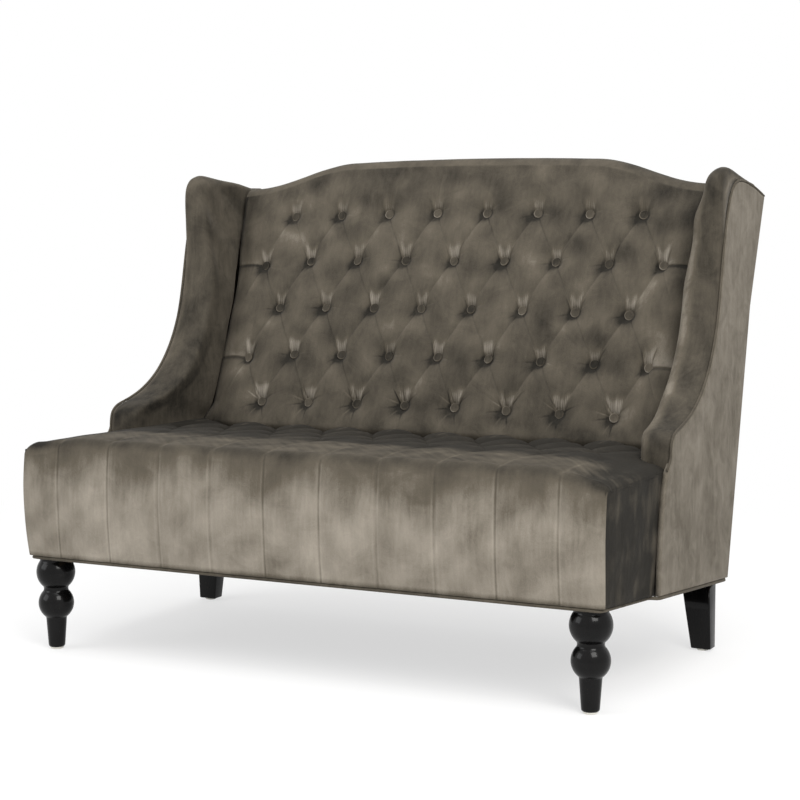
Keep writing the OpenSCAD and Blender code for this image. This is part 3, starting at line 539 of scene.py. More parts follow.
def back_relief(x, s):
    """Forward height of the tufted face, and the painted light and shade that its folds add to the tone."""
    v = (TOP_ROW - s - bow(x)) / ROW_PITCH
    pillow = diamonds(np.clip(x, -ROW_END, ROW_END), np.clip(v, 0, ROWS - 1), 0.6)
    calm = smooth((np.maximum(0, -v) + np.maximum(0, v - (ROWS - 1))) / 0.8)
    pillow = pillow * (1 - calm) + 0.93 * calm
    crease_f, crest, reach = 18.2, 4.6, 90
    f = crease_f + crest * pillow + 0.8 * wave(x, s, 150, 3) + 0.35 * wave(x, s, 46, 4)
    tone = 0 * f
    draws = np.random.default_rng(5)
    for bx, bs, row in BUTTONS:
        pick = [draws.uniform(-1, 1) for _ in range(24)]
        near = (np.abs(x - bx) < reach) & (np.abs(s - bs) < reach)
        deeper, lighter = button_pull(x[near] - bx, s[near] - bs, row, pick)
        f[near] -= deeper
        tone[near] += lighter
    side = past_rows(x) ** 3
    f = f * (1 - side) + side
    # tucks from the end buttons to the wings, with a painted highlight on the cloth above each and painted
    # shade just under it
    for bx, bs, _ in BUTTONS:
        if abs(bx) > ROW_END - 20:
            past = smooth(((x - bx) * np.sign(bx) + 4) / 8)
            f -= past * 2.4 * np.exp(-np.abs(s - bs) / 3.0)
            tone += past * (0.30 * rise(s, bs, 3) * fade(s - bs, 34) - 0.22 * hill(s - bs, 4, -3))
    return f, tone


# The cap over the crown, from the face to the outside back: forward of the plane, and under the crown
CAP = [(19, 34), (13, 20), (2, 9.5), (-13, 2.6), (-32, 0.2), (-60, 0.9), (-86, 3.0), (-95.5, 6.5),
       (-97.2, 11), (-97.6, 14.6)]


def build_back():
    face_f, cap_drop = CAP[0]
    bottom, inside_f, inside_drop = -22.0, -21.0, 12.0
    roll_depth, roll_run, ease_run = 16, 26, 60
    xs = np.linspace(-BACK_HALF, BACK_HALF, 620)
    side_drop = face_f * 0.55 * past_rows(xs) ** 3
    top = CROWN_S - crown_drop(xs) - cap_drop
    S = bottom + (top - bottom) * np.linspace(0, 1, 330)[:, None]
    X = np.broadcast_to(xs, S.shape).copy()
    F, folds = back_relief(X, S)
    # the bottom edge rolls in under, the top eases into the cap
    F = F - roll_depth * (1 - rise(S, bottom, roll_run)) ** 2
    ease = rise(S, top - ease_run, ease_run)
    F = F * (1 - ease) + (face_f - side_drop) * ease
    slant = np.gradient(F, axis=0) / np.gradient(S, axis=0)
    # tone: painted light and shade from the face's slope and from its folds, random nap variation, painted
    # shade at the bottom by the seat, at the side edges against the wings and into the cap, and darker
    # towards the top and the upper right
    tone = 0.335 + 0.12 * np.tanh(slant * 1.2) + folds + 0.085 * wave(X, S, 240, 61) \
        + 0.095 * wave(X, S, 95, 62) - 0.10 * fall(S, 60, 90) \
        - 0.30 * rise(np.abs(X), BACK_HALF - 12, 12) - 0.05 * ease - 0.06 * rise(S, 420, 130) \
        - 0.12 * rise(X, BACK_HALF - 70, 60) * rise(S, 330, 120)
    X = X - np.sign(X) * wing_swell(S) * smooth((np.abs(X) - ROW_END + 40) / (BACK_HALF - ROW_END + 40))
    rows, tones = list(on_back(X, S, F)), list(tone)
    for f, drop in catmull(CAP, 4)[1:]:
        folded = f - side_drop * np.clip((f + 30) / 49, 0, 1) + 0.5 * wave(xs, f, 80, 9)
        rows.append(on_back(xs, top + cap_drop - drop, folded))
        # painted shade on the cap past its front, where it faces up to the light
        tones.append(0.33 - 0.13 * fall(f, face_f, 24) + 0.06 * wave(xs, f, 90, 63))
    # the cloth's hidden side
    for s in (top + cap_drop - inside_drop, bottom):
        rows.append(on_back(xs, s, inside_f))
        tones.append(np.full(len(xs), 0.3))
    piece("tufted_back", rows, sheet_faces(len(rows), len(xs), flip=True), CALM_VELVET, ["back_cover"],
          np.array(tones), fill=0.8)


def build_buttons():
    cover, cover_faces = lathe(catmull([
        (0.6, 6.0), (3.5, 6.1), (6.2, 6.35), (8.0, 6.5), (9.6, 6.0), (10.7, 4.6), (11.0, 2.8),
        (10.6, 1.0), (9.6, 0.1)], 3)[::-1], 28)
    button_r, foot_f = 11, 2.6
    draws = np.random.default_rng(11)
    verts, faces, tones = [], [], []
    for bx, bs, _ in BUTTONS:
        a, b = math.radians(draws.uniform(-9, 9)), math.radians(draws.uniform(-6, 9))
        q = cover.copy()
        creases = np.sin(np.arctan2(q[:, 1], q[:, 0]) * 5 + draws.uniform(0, 6))
        q[:, :2] += 0.25 * creases[:, None] * q[:, :2] / button_r
        x = q[:, 0] * math.cos(a) + q[:, 2] * math.sin(a)
        z = -q[:, 0] * math.sin(a) + q[:, 2] * math.cos(a)
        y = q[:, 1] * math.cos(b) - z * math.sin(b)
        z = q[:, 1] * math.sin(b) + z * math.cos(b)
        start = len(verts) * len(cover)
        verts.append(on_back(bx + x, bs + y, foot_f + z))
        faces += [tuple(k + start for k in f) for f in cover_faces]
        rad = np.hypot(q[:, 0], q[:, 1])
        # painted highlight on the lower left of each button's rim, painted shade at its outer edge where it
        # sinks into the cloth
        rim = hill(rad, 1.2, 9.6) * (0.5 - 0.5 * (q[:, 1] + q[:, 0]) / np.maximum(rad, 1) / 1.42)
        tones.append(0.20 + 0.16 * draws.uniform(-1, 1) + 0.55 * rim - 0.25 * rise(rad, 10.4, 0.6))
    piece("back_button_covers", np.concatenate(verts), faces, VELVET, ["back_buttons"],
          np.concatenate(tones), fill=1.0)


# Seat

def crease_distance(u):
    """Distance in pitches to the nearest whole number."""
    return np.abs(u - np.round(u))


def seat_relief(x, y):
    """Depth under the seat's crown."""
    v = (y - FIRST_TUFT) / ROW_PITCH
    rows = np.clip(v, 0, 3)
    across = 1 / math.sqrt(1 / PITCH ** 2 + 1 / (2 * ROW_PITCH) ** 2)
    da = crease_distance(x / PITCH + 0.5 + rows / 2) * across
    db = crease_distance(x / PITCH + 0.5 - rows / 2) * across
    crease = np.clip(np.exp(-da / 4) + np.exp(-db / 4), 0, 1.2)
    # before the first tufts the diamonds are open to the front
    ahead = smooth(-v / 0.9)
    flat = 0.86 + 0.14 * np.abs(np.sin(np.pi * (x / PITCH + 0.5 + rows / 2))) ** 0.5
    pillow = diamonds(x, rows, 0.55) * (1 - ahead) + flat * ahead
    back = rise(v, 0.8, 1.4)
    depth = (5 + 9 * back) * (1 - pillow) + (0.8 + 1.4 * back) * crease * (1 - 0.6 * ahead)
    for row in range(4):
        half = 0.5 if row % 2 == 0 else 0.0
        tuft_x = (np.round(x / PITCH - half) + half) * PITCH
        r = np.hypot(x - tuft_x, y - FIRST_TUFT - row * ROW_PITCH)
        depth = depth + (4 + 5 * min(1, row / 2)) * np.exp(-(r / 18) ** 1.5)
    return depth + SEAT_FALL * np.clip(v / 3, 0, 1)


# The radii of the seat's edges, the fall of its top at the ends, and what its right end fell more
R_TOP, R_SIDE, R_CORNER, SIDE_FALL, WORN = 27.0, 16.0, 7.0, 13.0, 9.0
SEAT_TOP, PLEATED = SEAT_H + SEAT_CROWN, 4.6 * PITCH
PANEL_IN = HALF_W - PANEL_T - GAP


def front_swell(z):
    """How far the front face swells out at height z."""
    return FRONT_CROWN * np.sin(0.84 * np.pi * np.clip((z - FRONT_CLEAR) / (SEAT_H - FRONT_CLEAR), 0, 1))


def side_swell(z):
    return SIDE_CROWN * (0.5 + 0.5 * np.sin(np.pi / 2 * np.clip((z - FRONT_CLEAR) / 120, 0, 1)))


def end_fall(x):
    """Fall of the seat's top towards its ends."""
    return SIDE_FALL * rise(np.abs(x), SEAT_END - 150, 150) ** 1.5 \
        + WORN * rise(x, SEAT_END - 120, 120) ** 1.5


def seat_top_grid():
    """The seat's front, knee and top as rows from its lower edge to the back, and their tones, with painted
    light and shade.
    """
    arc = np.linspace(0, np.pi / 2, 9)[1:]
    flat = np.linspace(-(SEAT_END - R_SIDE), SEAT_END - R_SIDE, 361)
    xs = np.concatenate([flat[0] - R_SIDE * np.sin(arc[::-1]), flat, flat[-1] + R_SIDE * np.sin(arc)])
    ang = np.concatenate([arc[::-1], 0 * flat, arc])
    drawn_in, outwards = 1 - np.cos(ang), np.sign(xs) * np.sin(ang) ** 2
    pleat = crease_distance(xs / PITCH + 0.5) * PITCH
    pleated = np.abs(xs) < PLEATED
    groove = np.where(pleated, 2.4 * np.exp(-pleat / 2.2) + 2.4 * hill(pleat, 20), 0.0)
    end_dark = 0.30 * rise(np.abs(xs), SEAT_END - 70, 60)
    low, knee = base_z(EDGE_Y) + WELT / 2 + GAP, SEAT_TOP - R_TOP
    rows, tones = [xyz(xs * 0.99, EDGE_Y + COVER_T, low + 0.5)], [np.full(len(xs), 0.1)]
    band_edge = 0.12 * wave(xs, 0, 190, 28) + 0.02 * wave(xs, 0, 34, 34)
    for z in np.linspace(low, knee, 44):
        k = (z - low) / (knee - low)
        w = 0.9 * wave(xs, z, 170, 21) * np.sin(np.pi * k)
        y = EDGE_Y - front_swell(z) + groove * min(1, 0.25 + 1.5 * k) + R_CORNER * drawn_in - w
        rows.append(xyz(xs + outwards * side_swell(z), y, z - k * end_fall(xs)))
        drips = 0.03 * wave(xs, z * 0.12, 10, 27, 20) * hill(k, 0.22, 0.66)
        # front tone: painted shade on the upper band where the front rounds over, with a ragged lower edge,
        # and at the bottom by the welt; painted highlights beside the pleats and painted shade in them;
        # random nap variation; darker towards the right
        tones.append(0.765 - 0.36 * rise(k, 0.58 - band_edge, 0.60) + drips
                     - 0.05 * rise(xs, 60, 420) - 0.25 * (1 - smooth(k / 0.05))
                     + 0.07 * wave(xs, z, 90, 22) + 0.04 * wave(xs, z, 300, 25)
                     + (0.08 * hill(pleat, 2.0, 4) - 0.22 * np.exp(-pleat / 1.3)) * pleated)
    front_edge, swollen = tones[-1], xs + outwards * SIDE_CROWN
    for a in np.linspace(0, np.pi / 2, 13)[1:]:
        blend = smooth(a / (np.pi / 2))
        drop = (R_CORNER * (1 - blend) + R_SIDE * blend) * drawn_in
        y = EDGE_Y - front_swell(knee) + groove * (1 - blend) + R_TOP * (1 - np.cos(a)) + drop * math.cos(a)
        z = SEAT_TOP - R_TOP * (1 - math.sin(a)) - groove * blend - drop * math.sin(a) - end_fall(xs)
        rows.append(xyz(swollen, y, z))
        # painted shade along the middle of the rounded edge, painted highlights along the pleats over it
        tones.append(front_edge * (1 - blend) + 0.26 * blend - 0.15 * math.sin(2 * a) ** 2
                     + 0.06 * wave(xs, a * 30, 60, 23) + (0.16 * hill(pleat, 3.0) - end_dark) * blend)
    start = EDGE_Y - front_swell(knee) + R_TOP
    for y in np.linspace(start, BACK_Y + 4, 150)[1:]:
        run = y - start
        edge = rise(np.abs(xs), 4.35 * PITCH, 40)
        ease = smooth(run / 45)
        depth = groove * (1 - ease) + seat_relief(xs, y) * ease * (1 - edge) + 1.5 * edge
        crown = 3.5 * math.sin(math.pi * min(1, run / 300)) * (1 - (xs / 640) ** 4)
        z = SEAT_TOP + crown - depth - R_SIDE * drawn_in + 0.7 * wave(xs, y, 120, 24) - end_fall(xs)
        rows.append(xyz(swollen, y, z))
        ahead = fall(y, FIRST_TUFT + 10, 110)
        # the top: dark, with a painted sheen and random nap streaks towards the front, painted highlights
        # along the pleats behind the front edge and on the short pleats at the back
        painted_sheen_and_nap = 0.36 + 0.09 * wave(xs + 0.9 * run, y * 0.2, 26, 29, 14) \
            + 0.10 * hill(xs + 40 - 0.5 * run, 60) - end_dark
        tones.append(-0.10 + 0.07 * wave(xs, y, 70, 26) + painted_sheen_and_nap * ahead
                     + 0.16 * hill(pleat, 3.0) * (1 - rise(run, 50, 70))
                     + 0.34 * hill(pleat, 2.4) * rise(y, BACK_Y - 78, 14))
    return np.array(rows), np.array(tones)


def seat_side(sgn):
    """A side face of the seat, from the front corner to just behind the panel's toe."""
    steps, back, front = np.linspace(0, 1, 56), ARM_Y + 10, EDGE_Y - FRONT_CROWN + 3
    lip_y = EDGE_Y + 4 + (back - EDGE_Y - 4) * steps
    # at the toe the lip hangs down behind the welt, which bends outwards there
    hang = rise(steps, 0.90, 0.06)
    rows = [xyz(SEAT_END - 14 + 9 * hang, lip_y, base_z(lip_y) + WELT / 2 + 1 - 6 * hang)]
    tones = [np.full(len(steps), 0.1)]
    z_top = SEAT_TOP - SIDE_FALL - R_SIDE + 2 - (WORN if sgn > 0 else 0)
    z_low = base_z(front + (back - front) * steps) + WELT / 2 + GAP
    for k in np.linspace(0, 1, 40):
        z = z_low + (z_top - z_low) * k
        front_y = EDGE_Y - front_swell(z) + R_CORNER - 0.5
        # the top front corner is rounded like the front edge
        cut = np.clip((z - (SEAT_TOP - R_TOP)) / R_TOP, 0, 1)
        y = np.maximum(front_y + (back - front_y) * steps, front_y + R_TOP * (1 - np.sqrt(1 - cut ** 2)))
        x = SEAT_END + side_swell(z) - 0.2 - 2.2 * np.exp(-steps * 14) \
            + 1.1 * wave(y, z, 130, 31 + sgn) * np.minimum(1, steps * 6)
        rows.append(xyz(np.minimum(x, PANEL_IN), y, z))
        tones.append(-0.03 + 0.13 * wave(y, z, 90, 33) + 0.07 * wave(y, z * 0.3, 26, 35)
                     + 0.16 * rise(steps, 0.55, 0.3) - 0.08 * rise(z, 380, 50))
    return np.array(rows) * (sgn, 1, 1), np.array(tones)


def build_seat():
    grid, tone = seat_top_grid()
    verts, tones, count = [grid.reshape(-1, 3)], [tone.ravel()], tone.size
    # the top ends where the wings stand on it
    faces = []
    for f in grid_faces(*tone.shape):
        x, y, _ = verts[0][list(f)].mean(0)
        if y <= ARM_Y + 20 or abs(x) <= WING_IN + 1:
            faces.append(f)
    for sgn in (-1, 1):
        grid, tone = seat_side(sgn)
        faces += [tuple(q + count for q in f) for f in grid_faces(*tone.shape, flip=sgn > 0)]
        verts.append(grid.reshape(-1, 3))
        tones.append(tone.ravel())
        count += tone.size
    piece("seat_upholstery", np.concatenate(verts), faces, SEAT_VELVET, ["seat_cover"],
          np.concatenate(tones), fill=0.9)


# Wings

# A wing's edge from the seat over the arm and up to its top, in reaches and rises
EDGE_SHARES = [
    (0.05, 0), (0.055, 0.045), (0.075, 0.074), (0.14, 0.096), (0.28, 0.114), (0.44, 0.142),
    (0.595, 0.185), (0.73, 0.243), (0.85, 0.32), (0.945, 0.41), (1.01, 0.505),
    (1.045, 0.6), (1.06, 0.7), (1.055, 0.82), (1.05, 0.89), (1.06, 0.943), (1.1, 0.977),
    (1.17, 0.995), (1.27, 1)]
# Where a wing's inner face ends at the back, in shares of that line's height
LINE_SHARES = [
    0.02, 0.04, 0.07, 0.1, 0.15, 0.21, 0.28, 0.35, 0.42, 0.49, 0.55,
    0.61, 0.67, 0.73, 0.78, 0.82, 0.86, 0.89, 0.915, 0.94, 0.96]
WING_RISE = WING_H - SEAT_H
PEAK = np.array([ARM_Y + EDGE_SHARES[-1][0] * WING_REACH, WING_H])
HEEL = np.array(back_point(WING_CORNER_S, WING_BACK_N))
EDGE = catmull([(ARM_Y + EDGE_SHARES[0][0] * WING_REACH, WING_FOOT_Z)]
               + [(ARM_Y + a * WING_REACH, SEAT_H + b * WING_RISE) for a, b in EDGE_SHARES]
               + [PEAK + (HEEL - PEAK) * k for k in (0.4, 0.85)], 5)
BACK_LINE = catmull([(BACK_Y + (WING_FOOT_Z - SEAT_H) * TAN + WING_BACK_N / COS, WING_FOOT_Z)]
                    + [back_point(BACK_LINE_LOW + (WING_LINE_TOP - BACK_LINE_LOW) * k, WING_BACK_N)
                       for k in LINE_SHARES], 5)
# The roll over the edge: how far behind the edge, in roll depths, and how far out to the seam
ROLL = catmull([(0.34, 1), (0.21, 0.97), (0.09, 0.88), (0.015, 0.7), (0, 0.5), (0.03, 0.28), (0.14, 0.1),
                (0.38, 0.01), (1, 0)], 5)
# The seam lies beside the edge up to a height; its run round the wing's top corner is in y and z
SEAM_BESIDE, SEAM_LEAVES_Z = 8.0, 690
SEAM_CORNER = [(149, 713), (158, 755), (166, 797), (174, 839), (186, 881), (201, 922), (219, 950), (243, 967),
               (275, 969), (318, 965), (362, 957), (402, 948)]


def toward(p, q, d):
    return p + (q - p) * (d / np.linalg.norm(q - p, axis=-1))[..., None]


def panel_seam():
    """The seam between wing and panel, in y and z, from the arm's front to the outside back."""
    front = (ARM_Y, base_z(ARM_Y) + (SEAT_H - base_z(ARM_Y)) * 0.93)
    inset = toward(EDGE, BACK_LINE, np.full(len(EDGE), SEAM_BESIDE))
    path = catmull([front] + [p for p in inset[5:] if p[1] < SEAM_LEAVES_Z] + SEAM_CORNER
                   + [back_point(WING_CORNER_S - SEAM_IN, BACK_T)], 2)
    for _ in range(6):
        path[1:-1] = 0.25 * path[:-2] + 0.5 * path[1:-1] + 0.25 * path[2:]
    return path


SEAM = panel_seam()


def on_plane(w):
    """How far up the back's plane and how far behind it a point in y and z lies."""
    y, z = w[0] - BACK_Y, w[1] - SEAT_H
    return y * SIN + z * COS, y * COS - z * SIN


def seam_depth(p, q):
    """How far behind the edge the seam crosses a section from p to q."""
    d = unit(q - p)
    a, b = SEAM[:-1], SEAM[1:]
    e = b - a
    cross = d[0] * e[:, 1] - d[1] * e[:, 0]
    cross = np.where(np.abs(cross) < 1e-9, 1e-9, cross)
    t = ((a[:, 0] - p[0]) * e[:, 1] - (a[:, 1] - p[1]) * e[:, 0]) / cross
    u = ((a[:, 0] - p[0]) * d[1] - (a[:, 1] - p[1]) * d[0]) / cross
    hit = t[(u >= 0) & (u <= 1) & (t > 0.5)]
    return hit.min() if len(hit) else SEAM_BESIDE


def roll_tone(sgn, out, z, high):
    """Tone of a wing's roll at a share of the way out to the seam, with painted light and shade."""
    if sgn > 0:
        # seen from outside: a painted highlight on the inner half, the front half darker
        return 0.22 + 0.34 * fall(out, 0.44, 0.3) * (1 - 0.5 * high)
    # seen from inside: painted shade low on the roll towards the seat, a painted highlight along the outer
    # edge
    dusk = 0.20 * fall(z, 620, 120) * (0.4 + 0.6 * rise(z, 432, 45))
    return 0.29 + 0.16 * rise(out, 0.8, 0.15) * (1 - 0.5 * high) - dusk


def wing_section(i, sgn):
    """Points and tones across a wing, from the seam round the roll to the back, and back under it."""
    p, q = EDGE[i], BACK_LINE[i]
    run = np.linalg.norm(q - p)
    roll = min(ROLL_D, run * 0.6)
    seam = min(seam_depth(p, q), run * 0.8)
    first = min(seam - 1, 17.0)
    # the face swells in between the arm and the upper wing; high is 1 round the top front corner
    swell = WING_SWELL * rise(p[1], 455, 90) * (1 - rise(p[1], 745, 135))
    high = rise(p[1], 885, 85) * (1 - rise(p[0], 215, 110))
    in_x = WING_IN - swell + 16 * high
    end_x = BACK_HALF + GAP - wing_swell(on_plane(q)[0])
    points, tones = [], []
    for a, out in ROLL:
        squeeze = 1 if out < 0.5 else first / (ROLL[0][0] * roll)
        w = toward(p, q, a * roll * squeeze + 20 * high * (1 - out) ** 2)
        points.append((in_x + (PANEL_IN + 5 - in_x) * out, *w))
        tones.append(roll_tone(sgn, out, w[1], high) + 0.04 * math.sin(i * 0.5 + out * 7))
    base = max(a * roll + 20 * high * (1 - out) ** 2 for a, out in ROLL if out < 0.5)
    for k in np.linspace(0, 1, 14)[1:]:
        w = toward(p, q, base + (run - base) * k)
        x = in_x + (end_x - in_x) * k ** 1.3 - 1.8 * math.sin(math.pi * k) ** 0.8 + 0.7 * wave(*w, 120, 41)
        s, behind = on_plane(w)
        # the face stays outside the tufted back, which it meets
        clear = BACK_HALF + GAP - wing_swell(s) - 60 * (1 - rise(behind, -44, 18))
        points.append((max(x, clear), *w))
        # inner face: random nap variation, darker towards the back and low at the front, and painted light
        # low towards the back that lifts the swell's shadow
        tones.append(0.32 + 0.08 * wave(*w, 150, 42) - 0.06 * k
                     - 0.10 * fall(w[1], 610, 120) * (1 - 0.9 * smooth(k / 0.5))
                     + 0.10 * fall(w[1], 560, 90) * rise(k, 0.15, 0.4))
    under = min(max(BOARD_IN - GAP, seam + 9), run * 0.9)
    for x, depth, tone in ((BOARD_X - GAP, run, 0.3), (BOARD_X - GAP, under, 0.3), (PANEL_IN, under, 0.3),
                           (PANEL_IN, seam + 0.5, 0.3), (PANEL_IN + 5, seam - 0.5, 0.2),
                           (PANEL_IN + 5.5, (seam + first) / 2, 0.34 + 0.2 * high)):
        points.append((x, *toward(p, q, depth)))
        tones.append(tone)
    return points, tones


def wing_top(sgn):
    """Points and faces of a wing's top, carried back over the post to the outside back."""
    in_x, out_x = BACK_HALF + GAP, BOARD_X + BOARD_T - GAP
    line = catmull([PEAK + (HEEL - PEAK) * 0.78, PEAK + (HEEL - PEAK) * 0.9, HEEL,
                    back_point(WING_CORNER_S - 1, 78), back_point(WING_CORNER_S - 4, OUTSIDE_N - 6),
                    back_point(WING_CORNER_S - 9, OUTSIDE_N - 2 * GAP)], 4)
    section = [(0, -26), (0, -10), (0.01, -3), (0.06, -0.6), (0.5, 0.0), (0.9, -1.5), (0.97, -4), (1, -9),
               (1, -20)]
    rows = []
    for i, (y, z) in enumerate(line):
        # the strip rises out of the wing's own surface
        sink = 9.0 * (1 - smooth(i / 5))
        rows.append([(in_x + (out_x - in_x) * a, y, z + b - sink) for a, b in section])
    v = np.array(rows) * (sgn, 1, 1)
    m, c = v.shape[:2]
    return v.reshape(-1, 3), grid_faces(m, c, flip=sgn > 0) + [tuple(range((m - 1) * c, m * c))]


def build_wing(sgn, side):
    sections = [wing_section(i, sgn) for i in range(len(EDGE))]
    v = np.array([points for points, _ in sections]) * (sgn, 1, 1)
    tones = np.array([tones for _, tones in sections])
    faces = tube_faces(*tones.shape, flip=sgn > 0)
    top, top_faces = wing_top(sgn)
    faces += [tuple(k + tones.size for k in f) for f in top_faces]
    tones = np.concatenate([tones.ravel(), np.full(len(top), 0.38)])
    piece(side + "_wing_upholstery", np.concatenate([v.reshape(-1, 3), top]), faces, VELVET,
          [side + "_wing_pad"], tones, fill=0.9)


def build_panel(sgn, side):
    """An outside panel: its inner face, its edge, and an outer face with a soft rim."""
    low, toe_y = WELT / 2 + GAP, ARM_Y - TOE
    toe = catmull([(toe_y, base_z(toe_y) + low), (toe_y + 3, 260), (toe_y + TOE / 2, 363), SEAM[0]], 6)
    rear = [(rear_y(knee_z(0)), knee_z(0)), (rear_y(REAR_CLEAR + low), base_z(BASE_BACK_Y) + low)]
    outline = np.concatenate([toe[:-1], SEAM, rear])
    along = unit(np.roll(outline, -1, 0) - np.roll(outline, 1, 0))
    inwards = np.stack([along[:, 1], -along[:, 0]], -1)
    rings = []
    for depth, shrink in ((PANEL_T, 0), (3.0, 0), (1.0, 0.8), (0.3, 2.6), (0, 7.0)):
        ring = outline + inwards * shrink
        rings.append(xyz(HALF_W - depth, *ring.T))
    v = np.array(rings) * (sgn, 1, 1)
    faces = tube_faces(*v.shape[:2], flip=sgn < 0)
    v = v.reshape(-1, 3)
    flat_ends(piece(side + "_panel_cover", v, faces, CALM_VELVET, [side + "_outside_panel"],
                    0.60 + 0.03 * wave(v[:, 1], v[:, 2], 200, 51)))


def build_piping(sgn, side):
    along = unit(np.gradient(SEAM, axis=0))
    path = SEAM + (SEAM_R + GAP) * np.stack([-along[:, 1], along[:, 0]], -1)
    tube = tube_mesh(xyz(sgn * (HALF_W - SEAM_R), *path.T), SEAM_R)
    piece(side + "_wing_piping", *tube, WELT_VELVET, [side + "_wing_welt"])


def build_base_welt():
    side_x, panel_x = SEAT_END - WELT / 2, HALF_W - WELT / 2
    toe_y = ARM_Y - TOE
    back = BASE_BACK_Y - WELT / 2
    half = [(0.5, back), (panel_x - 14, back), (panel_x - 3, back - 2.5), (panel_x, back - 12),
            (panel_x, toe_y + 8), (panel_x - 3, toe_y), (side_x + 3, toe_y - 5), (side_x, toe_y - 13),
            (side_x, EDGE_Y + 16), (side_x - 2.5, EDGE_Y + 7), (side_x - 14, EDGE_Y + WELT / 2)]
    loop = [np.array(p) for p in half + [(-x, y) for x, y in half[::-1]]]
    step, path = 25, []
    for a, b in zip(loop, loop[1:] + loop[:1]):
        count = max(1, int(np.linalg.norm(b - a) / step))
        path += [a + (b - a) * k / count for k in range(count)]
    x, y = np.array(path).T
    tube = tube_mesh(xyz(x, y, base_z(y)), WELT / 2, square=(0, 0, 1), closed=True)
    piece("base_edge_welt", *tube, WELT_VELVET, ["base_welt"], slot="velvet_back")


def build_outside_back():
    half = HALF_W - PANEL_T - 2 * GAP
    xs = np.linspace(-half, half, 140)
    low = REAR_CLEAR + WELT / 2 + GAP
    over = rise(np.abs(xs), BACK_HALF, 60)
    top_s = (BACK_TOP_S - crown_drop(np.clip(xs, -BACK_HALF, BACK_HALF))) * (1 - over) \
        + (WING_CORNER_S - SEAM_IN) * over
    sheets, tones = [], []
    for inset in (0.0, OUTSIDE_T):
        knee, rows = knee_z(inset), []
        top_z = SEAT_H + top_s * COS - (BACK_T - inset) * SIN
        for k in np.linspace(0, 1, 60):
            z = low + (top_z - low) * k
            y = np.where(z < knee, rear_y(z, inset), BACK_Y + (z - SEAT_H) * TAN + (BACK_T - inset) / COS)
            if not inset:
                # the outer face is soft at the knee and drawn in at its edges
                y -= 0.4 + 2.0 * hill(z, 40, knee) + 3.0 * np.exp((np.abs(xs) - half) / 5) \
                    + 2.5 * math.exp(-k * 60) + 3.0 * math.exp(-(1 - k) * 80) + 0.6 * wave(xs, z, 190, 61)
            rows.append(xyz(xs, y, z))
            tones.append(0.42 + 0.08 * wave(xs, z, 260, 62))
        sheets += rows[::-1] if inset else rows
    piece("outside_back_cover", sheets, sheet_faces(len(sheets), len(xs)), VELVET, ["outside_back"],
          np.array(tones), slot="velvet_back")


# Legs and dust cloth

def ball(radius, z, low, high):
    """A ball's radii and heights between two angles in degrees."""
    return [(radius * math.cos(a), z + radius * math.sin(a)) for a in np.radians(np.linspace(low, high, 26))]


def build_turned_leg(sgn, side):
    taper_z, taper_r, low_r, neck_r, neck_h, top_r = 67.0, 21.75, 36.5, 25.5, 8, 40.0
    collar_r, collar_z, top_z = 32, 188.5, 191.0
    low_z = taper_z + math.sqrt(low_r ** 2 - taper_r ** 2)
    neck_z = low_z + math.sqrt(low_r ** 2 - neck_r ** 2)
    ball_z = neck_z + neck_h + math.sqrt(top_r ** 2 - neck_r ** 2)
    foot = [(1, GLIDE_H), (13, GLIDE_H), (15.4, 4.8), (16.8, 6.6), (17.2, 9)]
    taper = [(17.2 + 4.0 * k, 9 + 55 * k) for k in np.linspace(0.1, 1, 8)] + [(taper_r + 0.15, taper_z)]
    neck = [(25.4, neck_z + 1.5), (25.1, neck_z + 4), (25.4, neck_z + 6.5)]
    turned = foot + taper + ball(low_r, low_z, -52, 44) + neck + ball(top_r, ball_z, -49, 36)
    v, faces = lathe([p for p in turned if p[1] <= collar_z - 1]
                     + [(collar_r, collar_z), (collar_r, top_z), (2, top_z)])
    v += (sgn * (HALF_W - LEG_INSET_X), EDGE_Y + LEG_INSET_Y, 0)
    # the top follows the sloping base
    top = v[:, 2] > top_z - 1
    v[top, 2] = base_z(v[top, 1]) - 0.1
    piece(side + "_turned_leg", v, faces, SATIN, ["front_" + side + "_leg"], slot="black_satin_wood")


def build_rear_leg(sgn, side):
    out_x, back_y, r = HALF_W - REAR_INSET, BASE_BACK_Y - REAR_STEP, 2.5
    full_z, top_z = 157, base_z(back_y - 20) - 1
    rings = []
    for z, inset in ((GLIDE_H, 1.5), (5, 0.4), (6.5, 0), (80, 0), (top_z, 0)):
        k = (z - GLIDE_H) / (full_z - GLIDE_H)
        w, d = REAR_FOOT_W + (REAR_LEG_W - REAR_FOOT_W) * k, REAR_FOOT_D + (REAR_LEG_D - REAR_FOOT_D) * k
        corners = ((out_x - inset, back_y - inset), (out_x - w + inset, back_y - inset),
                   (out_x - w + inset, back_y - d + inset), (out_x - inset, back_y - d + inset))
        ring = []
        for i, (x, y) in enumerate(corners):
            sx, sy = -1 if i in (0, 3) else 1, -1 if i in (0, 1) else 1
            for t in np.radians(90 * i + np.linspace(0, 90, 5)):
                ring.append((x + sx * r + r * math.cos(t), y + sy * r + r * math.sin(t), z))
        rings.append(ring)
    v = np.array(rings) * (sgn, 1, 1)
    v[-1, :, 2] = base_z(v[-1, :, 1]) - 0.1
    flat_ends(piece(side + "_tapered_leg", v, tube_faces(*v.shape[:2], flip=sgn < 0), SATIN,
                    ["rear_" + side + "_leg"], slot="black_satin_wood"))


